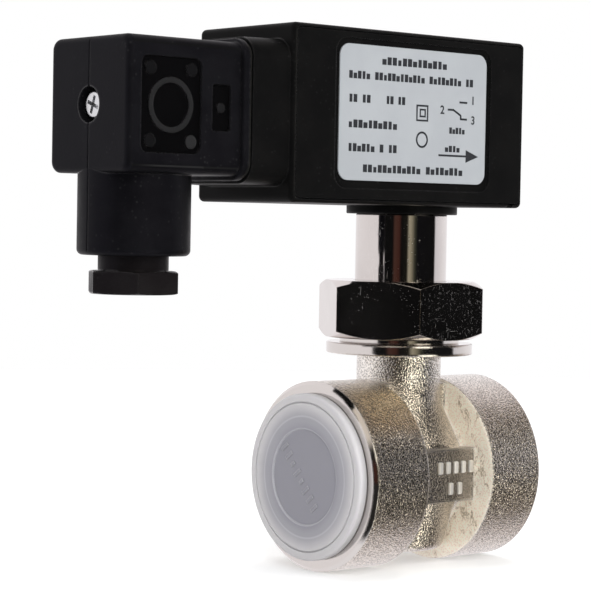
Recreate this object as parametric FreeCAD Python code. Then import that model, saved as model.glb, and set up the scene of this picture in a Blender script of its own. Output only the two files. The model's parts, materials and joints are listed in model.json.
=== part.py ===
import FreeCAD, Part
import math
import os

# Flow switch: a threaded tee, a union nut, a switch head and a cable plug.
# The pipe runs along X, flow goes towards +X, the branch rises along Z and the label faces -Y.
# The origin is the point where the pipe axis meets the branch axis. All sizes are millimetres.

# Clearances
turn_gap = 0.1
thread_gap = 0.08
pin_gap = 0.04
fit_gap = 0.05
panel_gap = 0.15
free_gap = 0.3

# Tee
run_length = 50.0
port_radius = 20.4
port_length = 15.6
port_edge = 0.9
port_shoulder = 0.35
port_thread_radius = 15.145
port_floor = 1.1
port_lead_in = 1.0
barrel_radius = 12.0
barrel_round = 1.8
passage_radius = 9.8
neck_radius = 9.3
neck_flare = 4.8
neck_flare_top = 15.5
neck_flare_foot = 5.4
neck_round = 12.0
neck_top_round = 0.6
neck_corner_round = 1.2
foot_end_radius = 10.2
foot_flare = 3.0
foot_depth = 17.0
foot_round = 2.0
ring_round = 0.3
branch_bore_radius = 7.0
pad_half_height = 5.75
pad_front = 14.7
pad_end_round = 1.0
ring_radius = 16.1
ring_bottom = 25.9
ring_thickness = 2.4
branch_thread_radius = 13.2

# Inlet cap
cap_rim = 1.75
cap_front = 2.2
cap_edge = 0.6
cap_skirt_depth = 8.0
cap_wall = 1.3
cap_ring_over = 0.65
cap_centre_radius = 10.3
cap_groove = 0.35

# Union nut and gasket
nut_wall = 3.02
nut_height = 12.5
nut_raise = 1.1
nut_lip = 2.5
nut_chamfer_angle = 30.0
gasket_thickness = 1.2

# Stem
stem_radius = 10.05
stem_show = 14.6
stem_flange_thickness = 2.4
stem_bore_radius = 7.0
stem_top_bore_radius = 6.0
stem_thread_radius = 8.0
stem_thread_over = 0.3
collar_radius = 12.2
collar_thickness = 1.8
locknut_wall = 0.95
locknut_height = 2.6

# Lever, its pivot and its bellows
pivot_drop = 6.5
pivot_pin_radius = 0.8
bearing_height = 5.0
bearing_slot_length = 9.0
lever_radius = 2.0
lever_bottom = 7.5
lever_flat_over = 0.5
lever_tang_thickness = 1.2
bellows_outer_radius = 5.6
bellows_inner_radius = 3.7
bellows_wall = 0.25
bellows_pitch = 1.9
bellows_count = 4
bellows_collar = 0.8

# Paddle
paddle_width = 13.0
paddle_thickness = 1.0
paddle_tip_gap = 2.0
paddle_shoulder = 5.0
paddle_step = 3.0
paddle_tang_width = 7.0
paddle_tang_over = 2.1
rivet_radius = 0.8
rivet_head_radius = 1.4
rivet_head_height = 0.6
rivet_spacing = 4.2
rivet_edge = 2.2

# Lever head inside the housing
head_block_size = 6.0
head_block_over = 3.0
head_block_rise = 5.9
head_block_grip = 4.5
contact_from_tip = 2.95
contact_screw_radius = 1.25
contact_screw_head_radius = 2.1
contact_screw_head_height = 1.2
clamp_screw_radius = 1.0
small_nut_height = 1.6

# Microswitch and its leaf
switch_length = 19.8
switch_height = 10.2
switch_thickness = 6.4
switch_face = 8.6
switch_edge = 0.5
switch_hole_spacing = 9.5
switch_screw_radius = 1.1
switch_screw_inset = 2.9
leaf_angle = 10.0
leaf_length = 16.4
leaf_width = 4.0
leaf_thickness = 0.3
leaf_curl_radius = 0.5
leaf_hinge_height = 1.2
plunger_radius = 0.8
plunger_rise = 3.4
plunger_depth = 2.0
plunger_travel = 0.51
terminal_spacing = 7.2
terminal_length = 5.2
terminal_width = 3.2
terminal_thickness = 0.5

# Switch frame, return spring and set-point screw
sheet = 1.2
frame_left = 21.0
frame_foot_right = 12.0
frame_base_right = 11.0
frame_base_half = 9.0
frame_step_gap = 2.2
spring_seat = 10.5
spring_radius = 1.9
spring_wire_radius = 0.3
spring_turns = 5
spring_seat_radius = 2.6
spring_seat_thickness = 1.0
setpoint_tab = 12.8
setpoint_radius = 1.45
setpoint_length = 7.0
setpoint_nut_flats = 5.0

# Housing
housing_length = 67.2
housing_width = 31.2
housing_headroom = 2.1
housing_tail = 22.0
housing_edge = 1.2
housing_wall = 2.2
rim = 0.8
rim_step = 0.15
cover_thickness = 2.1
cover_lip = 1.2
cover_lip_depth = 2.5
seal_thickness = 0.6
hook_length = 6.0
hook_height = 0.5
hook_depth = 0.9
hook_place = 26.0
notch_right = 4.6
notch_length = 1.8
label_length = 42.7
label_top_margin = 3.4
label_left = 32.5
label_bottom = 4.9
label_corner = 2.5
label_thickness = 0.3
label_recess = 0.55
label_margin = 1.2
label_foot_margin = 1.7

# Square boss and its contact base
boss_wall = 2.75
boss_taper = 0.5
boss_side_cut = 0.5
boss_length = 9.4
boss_corner = 4.3
boss_hollow_corner = 1.5
base_set_back = 0.2
wire_hole_radius = 11.0
base_thickness = 7.8
blade_width = 6.3
blade_thickness = 0.8
blade_offset = 9.0
base_margin = 3.15
blade_reach = 12.0
blade_tail = 2.4
base_screw_radius = 1.3
base_screw_head_radius = 2.2
base_screw_head_height = 1.6
base_screw_length = 9.5
base_screw_margin = 2.95
base_pilot_over = 0.7
plug_gasket_thickness = 0.7
plug_gasket_width = 1.5

# Cable plug
plug_length = 29.0
plug_corner = 2.3
plug_end_edge = 1.3
plug_wall = 2.0
plug_end_wall = 2.5
plug_flange_over = 0.9
plug_flange_length = 1.6
plug_flange_corner = 4.0
seam_width = 0.22
seam_depth = 0.18
screw_well_radius = 3.55
screw_well_depth = 3.4
plug_screw_radius = 1.5
plug_screw_head_radius = 2.7
plug_screw_head_height = 1.9
plug_screw_grip = 6.0
recess_cross_length = 3.6
recess_cross_width = 0.7
recess_cross_depth = 1.1
screw_seal_thickness = 0.4
carrier_margin = 2.15
carrier_floor = 0.8
carrier_slot_over = 1.9
terminal_screw_radius = 1.5
terminal_screw_head_radius = 2.4
terminal_screw_height = 1.5
terminal_screw_length = 3.6
terminal_pilot_over = 0.4
terminal_screw_offset = 6.4

# Shallow panels on the plug's side
panel_left = 3.0
panel_length = 14.5
panel_margin = 4.0
panel_depth = 0.5
panel_corner = 1.5
ring_mark_radius = 5.4
ring_mark_band = 1.1
disc_radius = 1.35
disc_inset = 2.3
slot_left = 20.3
slot_length = 4.5
slot_height = 9.1
slot_dot_radius = 1.0

# Cable gland
gland_from_end = 0.1
gland_neck_radius = 11.3
gland_neck_length = 16.1
gland_neck_edge = 1.2
gland_thread_radius = 7.05
gland_bore_radius = 4.5
gland_nut_wall = 1.35
gland_nut_height = 4.6
gland_nut_angle = 13.0
gland_nut_show = 3.05
gland_nut_in = 5.2
gland_seal_height = 5.0
gland_washer_thickness = 0.8
gland_entry_radius = 5.5

# Leads inside the housing
lead_radius = 0.8
lead_end_run = 7.0

# Heights and lengths that follow from the sizes above
half_run = run_length / 2
shoulder_x = half_run - port_length
port_thread_depth = port_length - port_floor
cap_ring_radius = port_thread_radius + cap_ring_over
cap_radius = cap_ring_radius + cap_groove + cap_rim
ring_top = ring_bottom + ring_thickness
nut_bottom = ring_top + nut_raise
nut_top = nut_bottom + nut_height
lip_bottom = nut_top - nut_lip
stem_flange_top = lip_bottom - turn_gap
stem_flange_bottom = stem_flange_top - stem_flange_thickness
gasket_top = stem_flange_bottom - turn_gap
branch_top = gasket_top - gasket_thickness
nut_bore_radius = branch_thread_radius + thread_gap
nut_flats = 2 * (nut_bore_radius + nut_wall)
stem_top = nut_top + stem_show
housing_bottom = stem_top + collar_thickness
floor_z = housing_bottom + housing_wall
locknut_bottom = floor_z + sheet
locknut_top = locknut_bottom + locknut_height
locknut_flats = 2 * (stem_thread_radius + fit_gap + locknut_wall)
stem_thread_top = locknut_top + stem_thread_over
pivot_z = stem_top - pivot_drop
bearing_bottom = pivot_z - bearing_height / 2
bearing_top = pivot_z + bearing_height / 2

# Paddle and its rivets
rivet_low = lever_bottom + rivet_edge
rivet_high = rivet_low + rivet_spacing
paddle_tang_top = rivet_high + paddle_tang_over
lever_flat_top = paddle_tang_top + lever_flat_over
paddle_bottom = paddle_tip_gap - passage_radius

# Microswitch, lever head and spring, from the locknut up
switch_x = -switch_face
switch_bottom = stem_thread_top
switch_top = switch_bottom + switch_length
frame_front = switch_thickness / 2 + free_gap
switch_y = frame_front - switch_thickness / 2
hinge_x = switch_x + leaf_curl_radius + turn_gap
hinge_z = switch_bottom + leaf_hinge_height
plunger_z = hinge_z + plunger_rise
contact_height = hinge_z + leaf_length * math.cos(math.radians(leaf_angle)) - contact_from_tip
frame_step = locknut_top + frame_step_gap
frame_tab_bottom = switch_top + 2 * free_gap
spring_height = switch_top + free_gap + turn_gap + max(spring_seat_radius, setpoint_nut_flats / 2)
head_block_bottom = switch_bottom + head_block_rise
lever_top = head_block_bottom + head_block_grip
block_top = spring_height + head_block_over
block_half = head_block_size / 2

# Housing, boss and contact base
housing_right = housing_tail
housing_left = housing_right - housing_length
housing_front = -housing_width / 2
housing_back = housing_width / 2
housing_top = block_top + housing_headroom + housing_wall
housing_height = housing_top - housing_bottom
cavity_front = housing_front + rim_step + cover_thickness + seal_thickness
label_height = housing_height - label_bottom - label_top_margin
base_side = 2 * (blade_offset + base_margin)
base_screw_offset = base_side / 2 - base_screw_margin
boss_hollow = base_side + 2 * fit_gap
boss_side = boss_hollow + 2 * boss_wall
boss_hollow_depth = base_thickness + base_set_back
plug_z = housing_bottom + housing_height / 2
boss_front = housing_left - boss_length
boss_seat = boss_front + boss_hollow_depth
base_front = boss_seat - base_thickness
gasket_front = boss_front - plug_gasket_thickness

# Plug and gland
carrier_side = 2 * (blade_offset + carrier_margin)
plug_hollow = carrier_side + 2 * panel_gap
plug_side = plug_hollow + 2 * plug_wall
plug_flange_side = plug_side + 2 * plug_flange_over
plug_right = gasket_front - turn_gap
plug_left = plug_right - plug_length
plug_floor_z = plug_z - plug_side / 2
carrier_right = plug_right - free_gap
blade_tip = base_front - blade_reach
carrier_slot_depth = carrier_right - blade_tip + carrier_slot_over
carrier_depth = carrier_slot_depth + carrier_floor
carrier_left = carrier_right - carrier_depth
screw_seal_radius = screw_well_radius - free_gap
gland_x = plug_left + gland_neck_radius + gland_from_end
gland_nut_flats = 2 * (gland_thread_radius + gland_nut_wall)
neck_bottom = plug_floor_z - gland_neck_length
panel_height = plug_side - 2 * panel_margin


# Shapes shared by several pieces

def vector(x, y, z):
    return FreeCAD.Vector(x, y, z)


def box(x0, x1, y0, y1, z0, z1):
    return Part.makeBox(x1 - x0, y1 - y0, z1 - z0, vector(x0, y0, z0))


def rod_x(radius, x0, x1, y=0.0, z=0.0):
    return Part.makeCylinder(radius, x1 - x0, vector(x0, y, z), vector(1, 0, 0))


def rod_y(radius, y0, y1, x=0.0, z=0.0):
    return Part.makeCylinder(radius, y1 - y0, vector(x, y0, z), vector(0, 1, 0))


def rod_z(radius, z0, z1, x=0.0, y=0.0):
    return Part.makeCylinder(radius, z1 - z0, vector(x, y, z0), vector(0, 0, 1))


def ring_z(outer, inner, z0, z1, x=0.0, y=0.0):
    return rod_z(outer, z0, z1, x, y).cut(rod_z(inner, z0, z1, x, y))


def ring_y(outer, inner, y0, y1, x, z):
    return rod_y(outer, y0, y1, x, z).cut(rod_y(inner, y0, y1, x, z))


def rounded_wire(corners):
    """A closed wire through corners, each a point and the radius of its rounding."""
    edges = []
    starts = []
    count = len(corners)
    for i in range(count):
        point, radius = corners[i]
        before = (corners[i - 1][0] - point).normalize()
        after = (corners[(i + 1) % count][0] - point).normalize()
        if radius <= 0:
            starts.append((point, point, None))
            continue
        half = before.getAngle(after) / 2
        reach = radius / math.tan(half)
        middle = (before + after).normalize() * (radius / math.sin(half) - radius)
        starts.append((point + before * reach, point + after * reach, point + middle))
    for i in range(count):
        first, last, middle = starts[i]
        following = starts[(i + 1) % count][0]
        if middle is not None:
            edges.append(Part.Arc(first, middle, last).toShape())
        if last.distanceToPoint(following) > 1e-6:
            edges.append(Part.LineSegment(last, following).toShape())
    return Part.Wire(edges)


def turned(profile, axis):
    """A solid of revolution; profile holds (distance from the axis, place along it, rounding)."""
    if axis.x:
        corners = [(vector(place, 0, radius), rounding) for radius, place, rounding in profile]
    else:
        corners = [(vector(radius, 0, place), rounding) for radius, place, rounding in profile]
    face = Part.Face(rounded_wire(corners))
    return face.revolve(vector(0, 0, 0), axis, 360)


def rounded_rectangle(plane, at, u0, u1, v0, v1, corner):
    """A rectangle with round corners in the plane x = at or y = at."""
    pairs = [(u0, v0), (u1, v0), (u1, v1), (u0, v1)]
    if plane == "x":
        points = [vector(at, u, v) for u, v in pairs]
    else:
        points = [vector(u, at, v) for u, v in pairs]
    return rounded_wire([(point, corner) for point in points])


def square_prism(x0, x1, side, corner, centre_z):
    """A bar of square section with round corners that lies along X."""
    half = side / 2
    wire = rounded_rectangle("x", x0, -half, half, centre_z - half, centre_z + half, corner)
    return Part.Face(wire).extrude(vector(x1 - x0, 0, 0))


def plate_y(x0, x1, z0, z1, corner, y0, y1):
    """A plate with round corners that faces along Y."""
    wire = rounded_rectangle("y", y0, x0, x1, z0, z1, corner)
    return Part.Face(wire).extrude(vector(0, y1 - y0, 0))


def hexagon(flats, length):
    """A hexagonal bar up Z from the origin, with two corners on the X axis."""
    corner = flats / math.sqrt(3)
    turns = [math.radians(60 * i) for i in range(6)]
    points = [vector(corner * math.cos(a), corner * math.sin(a), 0) for a in turns]
    face = Part.Face(Part.makePolygon(points + [points[0]]))
    return face.extrude(vector(0, 0, length))


def chamfered_hexagon(flats, length, angle=nut_chamfer_angle):
    """A hexagonal bar whose corners are turned off at both ends."""
    corner = flats / math.sqrt(3)
    flat_radius = flats / 2
    drop = (corner - flat_radius) * math.tan(math.radians(angle))
    outline = [
        (0, 0, 0), (flat_radius, 0, 0), (corner, drop, 0),
        (corner, length - drop, 0), (flat_radius, length, 0), (0, length, 0),
    ]
    return hexagon(flats, length).common(turned(outline, vector(0, 0, 1)))


def along_x(shape, x, y, z):
    """Lays a piece that was made up Z along +X, and moves its foot to a place."""
    laid = shape.copy()
    laid.rotate(vector(0, 0, 0), vector(0, 1, 0), 90)
    laid.translate(vector(x, y, z))
    return laid


def along_y(shape, x, y, z):
    """Lays a piece that was made up Z along +Y, and moves its foot to a place."""
    laid = shape.copy()
    laid.rotate(vector(0, 0, 0), vector(1, 0, 0), -90)
    laid.translate(vector(x, y, z))
    return laid


def lead(name, points):
    """A wire of straight runs and tangent arcs, each arc as large as its two runs allow."""
    edges = []
    start = points[0]
    for i in range(1, len(points) - 1):
        before = points[i - 1] - points[i]
        after = points[i + 1] - points[i]
        turn = math.pi - before.getAngle(after)
        reach = 0.45 * min(before.Length, after.Length)
        radius = reach / math.tan(turn / 2)
        print(name, "bend radius", round(radius, 2))
        back = before.normalize()
        ahead = after.normalize()
        bisector = (back + ahead).normalize()
        middle = points[i] + bisector * (radius / math.cos(turn / 2) - radius)
        first = points[i] + back * reach
        last = points[i] + ahead * reach
        edges.append(Part.LineSegment(start, first).toShape())
        edges.append(Part.Arc(first, middle, last).toShape())
        start = last
    edges.append(Part.LineSegment(start, points[-1]).toShape())
    path = Part.Wire(edges)
    circle = Part.Circle(points[0], points[1] - points[0], lead_radius)
    tube = path.makePipeShell([Part.Wire([circle.toShape()])], True, False)
    section = math.pi * lead_radius ** 2 * path.Length
    print(name, "volume against section times length", round(tube.Volume / section, 4))
    return tube


# Pieces of the tee

def tee_port(side):
    """One port: a cylinder with a turned outer edge and a forged round shoulder."""
    outline = [
        (0, side * shoulder_x, 0),
        (port_radius, side * shoulder_x, port_shoulder),
        (port_radius, side * (half_run - port_edge), 0),
        (port_radius - port_edge, side * half_run, 0),
        (0, side * half_run, 0),
    ]
    return turned(outline, vector(1, 0, 0))


def tee_port_bore(side):
    """The threaded bore of one port with its lead-in."""
    mouth = port_thread_radius + port_lead_in
    outline = [
        (0, side * (half_run - port_thread_depth), 0),
        (port_thread_radius, side * (half_run - port_thread_depth), 0),
        (port_thread_radius, side * (half_run - port_lead_in), 0),
        (mouth, side * half_run, 0),
        (mouth, side * (half_run + port_lead_in), 0),
        (0, side * (half_run + port_lead_in), 0),
    ]
    return turned(outline, vector(1, 0, 0))


def tee_barrel():
    """The round middle of the tee, rounded out into the port at each end."""
    reach = shoulder_x + port_shoulder + barrel_round
    outline = [
        (0, -reach, 0), (port_radius - port_shoulder, -reach, 0),
        (port_radius - port_shoulder, -shoulder_x, 0), (barrel_radius, -shoulder_x, barrel_round),
        (barrel_radius, shoulder_x, barrel_round), (port_radius - port_shoulder, shoulder_x, 0),
        (port_radius - port_shoulder, reach, 0), (0, reach, 0),
    ]
    return turned(outline, vector(1, 0, 0))


def tee_neck():
    """The branch: straight below the ring, then wider towards the pads."""
    foot = neck_radius + neck_flare
    return turned([
        (0, 0, 0), (foot, 0, 0), (foot, neck_flare_foot, 0), (neck_radius, neck_flare_top, neck_round),
        (neck_radius, ring_bottom, neck_top_round), (ring_radius, ring_bottom, ring_round),
        (ring_radius, ring_top, ring_round), (branch_thread_radius, ring_top, 0),
        (branch_thread_radius, branch_top, 0.8), (0, branch_top, 0),
    ], vector(0, 0, 1))


def tee_foot():
    """The forged boss under the tee, opposite the branch."""
    top = -pad_half_height + port_shoulder
    return turned([
        (0, -foot_depth, 0), (foot_end_radius, -foot_depth, foot_round),
        (foot_end_radius + foot_flare, top, 0), (0, top, 0),
    ], vector(0, 0, 1))


def neck_corner(side):
    """Fills the narrow gap between the neck and a port, with a round hollow on each flank."""
    face = shoulder_x + port_shoulder
    centre_x = shoulder_x - neck_corner_round
    reach = neck_radius + neck_corner_round
    centre_y = math.sqrt(reach ** 2 - centre_x ** 2)
    touch_x = centre_x * neck_radius / reach
    touch_y = centre_y * neck_radius / reach
    plan = [(0, -touch_y), (touch_x, -touch_y), (shoulder_x, -centre_y), (face, -centre_y),
            (face, centre_y), (shoulder_x, centre_y), (touch_x, touch_y), (0, touch_y)]
    points = [vector(side * x, y, 0) for x, y in plan]
    block = Part.Face(Part.makePolygon(points + [points[0]])).extrude(vector(0, 0, port_radius))
    hollows = [rod_z(neck_corner_round, 0, port_radius, side * centre_x, y) for y in (-centre_y, centre_y)]
    under = rod_x(port_radius - port_shoulder, -face, face)
    return block.cut(hollows).common(under)


def tee_pad(side):
    """A flat pad between the ports that rounds out into each of them."""
    end = shoulder_x + port_shoulder
    front = side * pad_front
    over = front + side * pad_end_round
    block = box(-end, end, min(0, over), max(0, over), -pad_half_height, pad_half_height)
    clear = 2 * over - front
    corners = [
        (vector(-shoulder_x, clear, -pad_half_height), 0), (vector(shoulder_x, clear, -pad_half_height), 0),
        (vector(shoulder_x, front, -pad_half_height), pad_end_round),
        (vector(-shoulder_x, front, -pad_half_height), pad_end_round),
    ]
    hollow = Part.Face(rounded_wire(corners)).extrude(vector(0, 0, 2 * pad_half_height))
    return block.cut(hollow)


def tee_body():
    pieces = [tee_neck(), tee_foot()]
    for side in (-1, 1):
        pieces += [tee_port(side), neck_corner(side), tee_pad(side)]
    body = tee_barrel().fuse(pieces)
    body = body.cut([
        rod_x(passage_radius, -half_run, half_run), tee_port_bore(-1), tee_port_bore(1),
        rod_z(branch_bore_radius, 0, branch_top),
    ])
    return body.removeSplitter()


def branch_gasket():
    outer = branch_thread_radius - 0.8
    return ring_z(outer, branch_bore_radius + 0.4, branch_top, gasket_top)


def inlet_cap():
    seat = -half_run - turn_gap
    front = -half_run - cap_front
    skirt = port_thread_radius - free_gap
    inner = skirt - cap_wall
    outline = [
        (0, front + cap_groove, 0), (cap_centre_radius, front + cap_groove, 0.15),
        (cap_centre_radius, front, 0.15), (cap_ring_radius, front, 0),
        (cap_ring_radius, front + cap_groove, 0), (cap_ring_radius + cap_groove, front + cap_groove, 0),
        (cap_ring_radius + cap_groove, front, 0), (cap_radius, front, cap_edge),
        (cap_radius, seat, 0.2), (skirt, seat, 0),
        (skirt - cap_groove, seat + cap_skirt_depth, 0.5), (inner, seat + cap_skirt_depth, 0.3),
        (inner, front + cap_wall + cap_groove, 0.6), (0, front + cap_wall + cap_groove, 0),
    ]
    return turned(outline, vector(1, 0, 0))


def union_nut():
    nut = chamfered_hexagon(nut_flats, nut_height)
    nut.translate(vector(0, 0, nut_bottom))
    return nut.cut([
        rod_z(nut_bore_radius, nut_bottom, lip_bottom),
        rod_z(stem_radius + free_gap, lip_bottom, nut_top),
    ])


# Pieces of the stem

def stem():
    flange_radius = nut_bore_radius - free_gap
    outline = [
        (stem_bore_radius, stem_flange_bottom, 0), (flange_radius, stem_flange_bottom, 0.3),
        (flange_radius, stem_flange_top, 0), (stem_radius, stem_flange_top, 0),
        (stem_radius, stem_top, 0.3), (stem_thread_radius, stem_top, 0),
        (stem_thread_radius, stem_thread_top, 0.4), (stem_top_bore_radius, stem_thread_top, 0),
        (stem_top_bore_radius, bearing_top, 0), (stem_bore_radius, bearing_top, 0),
    ]
    return turned(outline, vector(0, 0, 1))


def collar():
    inner = stem_thread_radius + fit_gap
    outline = [
        (inner, stem_top, 0), (collar_radius, stem_top, 0.3),
        (collar_radius, housing_bottom, 0), (inner, housing_bottom, 0),
    ]
    return turned(outline, vector(0, 0, 1))


def stem_locknut():
    nut = chamfered_hexagon(locknut_flats, locknut_height)
    nut.translate(vector(0, 0, locknut_bottom))
    return nut.cut(rod_z(stem_thread_radius + fit_gap, locknut_bottom, locknut_top))


def bearing_block():
    """The block in the stem that carries the pivot pin, slotted so that the lever can swing."""
    block = rod_z(stem_bore_radius - fit_gap, bearing_bottom, bearing_top)
    half_slot = lever_radius + free_gap
    reach = bearing_slot_length / 2 - half_slot
    slot = box(-reach, reach, -half_slot, half_slot, bearing_bottom, bearing_top)
    ends = [rod_z(half_slot, bearing_bottom, bearing_top, side * reach) for side in (-1, 1)]
    hole = rod_y(pivot_pin_radius + fit_gap, -stem_bore_radius, stem_bore_radius, 0, pivot_z)
    return block.cut([slot.fuse(ends), hole])


def pivot_pin():
    half = stem_bore_radius - free_gap
    return rod_y(pivot_pin_radius, -half, half, 0, pivot_z)


def bellows():
    """A thin metal bellows between the block and the lever, made by revolving its folded wall."""
    top = bearing_bottom
    neck = lever_radius + fit_gap
    outer = [(stem_bore_radius - fit_gap, top, 0), (stem_bore_radius - fit_gap, top - bellows_collar, 0)]
    inner = []
    z = top - bellows_collar
    for i in range(bellows_count):
        outer.append((bellows_inner_radius + bellows_wall, z, 0))
        outer.append((bellows_outer_radius, z - bellows_pitch / 2, 0))
        inner.append((bellows_inner_radius, z, 0))
        inner.append((bellows_outer_radius - bellows_wall, z - bellows_pitch / 2, 0))
        z -= bellows_pitch
    outer.append((bellows_inner_radius + bellows_wall, z, 0))
    inner.append((bellows_inner_radius, z, 0))
    foot = z - bellows_collar
    outer += [(bellows_inner_radius + bellows_wall, foot, 0), (neck, foot, 0)]
    inner.append((neck, z, 0))
    profile = outer + inner[::-1] + [(bellows_inner_radius, top, 0)]
    return turned(profile, vector(0, 0, 1))


# Pieces of the lever

def paddle():
    half = paddle_width / 2
    tang = paddle_tang_width / 2
    corners = [
        (vector(0, -tang, paddle_tang_top), 1.5), (vector(0, -tang, paddle_shoulder + paddle_step), 1.0),
        (vector(0, -half, paddle_shoulder), 1.5), (vector(0, -half, paddle_bottom), half * 0.98),
        (vector(0, half, paddle_bottom), half * 0.98), (vector(0, half, paddle_shoulder), 1.5),
        (vector(0, tang, paddle_shoulder + paddle_step), 1.0), (vector(0, tang, paddle_tang_top), 1.5),
    ]
    plate = Part.Face(rounded_wire(corners)).extrude(vector(paddle_thickness, 0, 0))
    plate.translate(vector(-paddle_thickness / 2, 0, 0))
    return plate.cut(rivet_holes())


def rivet_heights():
    return [rivet_low, rivet_high]


def rivet_holes():
    reach = lever_radius + 1.0
    return [rod_x(rivet_radius + fit_gap, -reach, reach, 0, z) for z in rivet_heights()]


def paddle_rivets():
    left = -paddle_thickness / 2
    right = paddle_thickness / 2 + lever_tang_thickness
    rivets = []
    for z in rivet_heights():
        shank = rod_x(rivet_radius, left, right, 0, z)
        heads = [
            rod_x(rivet_head_radius, left - rivet_head_height, left, 0, z),
            rod_x(rivet_head_radius, right, right + rivet_head_height, 0, z),
        ]
        rivets.append(shank.fuse(heads).removeSplitter())
    return Part.Compound(rivets)


def lever_rod():
    rod = rod_z(lever_radius, lever_bottom, lever_top)
    face = paddle_thickness / 2
    over = lever_radius + 1.0
    upstream = box(-over, face, -over, over, lever_bottom, lever_flat_top)
    downstream = box(face + lever_tang_thickness, over, -over, over, lever_bottom, lever_flat_top)
    hole = rod_y(pivot_pin_radius + pin_gap, -over, over, 0, pivot_z)
    return rod.cut([upstream, downstream, hole] + rivet_holes())


def lever_head():
    """The block on top of the lever that holds the contact screw and meets the spring."""
    block = box(-block_half, block_half, -block_half, block_half, head_block_bottom, block_top)
    block = block.makeChamfer(0.4, block.Edges)
    nose = rod_x(spring_radius - spring_wire_radius - free_gap, -block_half - 1.0, -block_half, 0, spring_height)
    block = block.fuse(nose)
    clamp_z = head_block_bottom + head_block_grip / 2
    return block.cut([
        rod_z(lever_radius + fit_gap, head_block_bottom, lever_top + fit_gap),
        rod_x(contact_screw_radius + fit_gap, -block_half, block_half, 0, contact_height),
        rod_y(clamp_screw_radius + fit_gap, -block_half, -lever_radius, 0, clamp_z),
    ]).removeSplitter()


def clamp_screw():
    clamp_z = head_block_bottom + head_block_grip / 2
    return rod_y(clamp_screw_radius, -block_half - 0.2, -lever_radius - fit_gap, 0, clamp_z)


def contact_screw():
    tip = leaf_face_x(contact_height - hinge_z, 1) + free_gap
    shank_end = block_half + small_nut_height + 0.4
    head_end = shank_end + contact_screw_head_height
    ball = Part.makeSphere(contact_screw_radius, vector(tip + contact_screw_radius, 0, contact_height))
    shank = rod_x(contact_screw_radius, tip + contact_screw_radius, shank_end, 0, contact_height)
    head = rod_x(contact_screw_head_radius, shank_end, head_end, 0, contact_height)
    slot = box(head_end - 0.6, head_end, -contact_screw_head_radius, contact_screw_head_radius,
               contact_height - 0.25, contact_height + 0.25)
    return shank.fuse([ball, head]).cut(slot).removeSplitter()


def small_nut(flats, hole_radius, height):
    nut = hexagon(flats, height)
    return nut.cut(rod_z(hole_radius, 0, height))


def contact_nut():
    nut = small_nut(2.2 * contact_screw_head_radius, contact_screw_radius + fit_gap, small_nut_height)
    return along_x(nut, block_half, 0, contact_height)


# Pieces of the microswitch

def switch_hole_places():
    middle = switch_bottom + switch_length / 2
    x = switch_x - switch_height + switch_screw_inset
    return [(x, middle - switch_hole_spacing / 2), (x, middle + switch_hole_spacing / 2)]


def switch_case():
    back = switch_x - switch_height
    y0 = switch_y - switch_thickness / 2
    y1 = switch_y + switch_thickness / 2
    case = box(back, switch_x, y0, y1, switch_bottom, switch_bottom + switch_length)
    case = case.makeFillet(switch_edge, [edge for edge in case.Edges if edge_runs_along_y(edge)])
    ear_width = (switch_thickness - leaf_width) / 2 - fit_gap
    ears = []
    for start in (y0, y1 - ear_width):
        ears.append(box(switch_x - 0.5, hinge_x + leaf_curl_radius, start, start + ear_width,
                        hinge_z - leaf_curl_radius, hinge_z + leaf_curl_radius))
    holes = [rod_y(switch_screw_radius + fit_gap, y0, y1, x, z) for x, z in switch_hole_places()]
    bore_end = switch_x - plunger_depth - plunger_travel - free_gap
    plunger_bore = rod_x(plunger_radius + fit_gap, bore_end, switch_x, switch_y, plunger_z)
    seams = [box(back, switch_x, switch_y - 0.1, switch_y + 0.1, z - 0.15, z)
             for z in (switch_bottom + 0.15, switch_bottom + switch_length)]
    return case.fuse(ears).cut(holes + [plunger_bore] + seams).removeSplitter()


def edge_runs_along_y(edge):
    ends = [vertex.Point for vertex in edge.Vertexes]
    return len(ends) == 2 and abs(ends[0].y - ends[1].y) > 1e-3


def leaf_face_x(height, side):
    """Where a side of the leaf lies at a height above its hinge: -1 is the switch side, 1 the lever side."""
    lean = math.radians(leaf_angle)
    return hinge_x + height * math.tan(lean) + side * leaf_thickness / 2 / math.cos(lean)


def switch_plunger():
    tip = leaf_face_x(plunger_rise - plunger_radius, -1) - turn_gap
    return rod_x(plunger_radius, switch_x - plunger_depth, tip, switch_y, plunger_z)


def switch_leaf():
    half = leaf_width / 2
    blade = box(-leaf_thickness / 2, leaf_thickness / 2, -half, half, 0, leaf_length)
    curl = rod_y(leaf_curl_radius, -half, half)
    leaf = blade.fuse(curl).removeSplitter()
    leaf.rotate(vector(0, 0, 0), vector(0, 1, 0), leaf_angle)
    leaf.translate(vector(hinge_x, switch_y, hinge_z))
    return leaf


def terminal_places():
    middle = switch_bottom + switch_length / 2
    return [middle - terminal_spacing, middle, middle + terminal_spacing]


def switch_terminals():
    right = switch_x - switch_height
    left = right - terminal_length
    half = terminal_width / 2
    tabs = []
    for z in terminal_places():
        tab = box(left, right, switch_y - half, switch_y + half,
                  z - terminal_thickness / 2, z + terminal_thickness / 2)
        eye = rod_z(0.6, z - 1, z + 1, left + 1.8, switch_y)
        tabs.append(tab.cut(eye))
    return Part.Compound(tabs)


def switch_screws():
    front = switch_y - switch_thickness / 2
    end = frame_front + sheet + small_nut_height + 0.4
    screws = []
    for x, z in switch_hole_places():
        shank = rod_y(switch_screw_radius, front, end, x, z)
        head = rod_y(1.8 * switch_screw_radius, front - 1.2, front, x, z)
        slot = box(x - 2 * switch_screw_radius, x + 2 * switch_screw_radius,
                   front - 1.2, front - 0.7, z - 0.2, z + 0.2)
        screws.append(shank.fuse(head).cut(slot).removeSplitter())
    return Part.Compound(screws)


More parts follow.
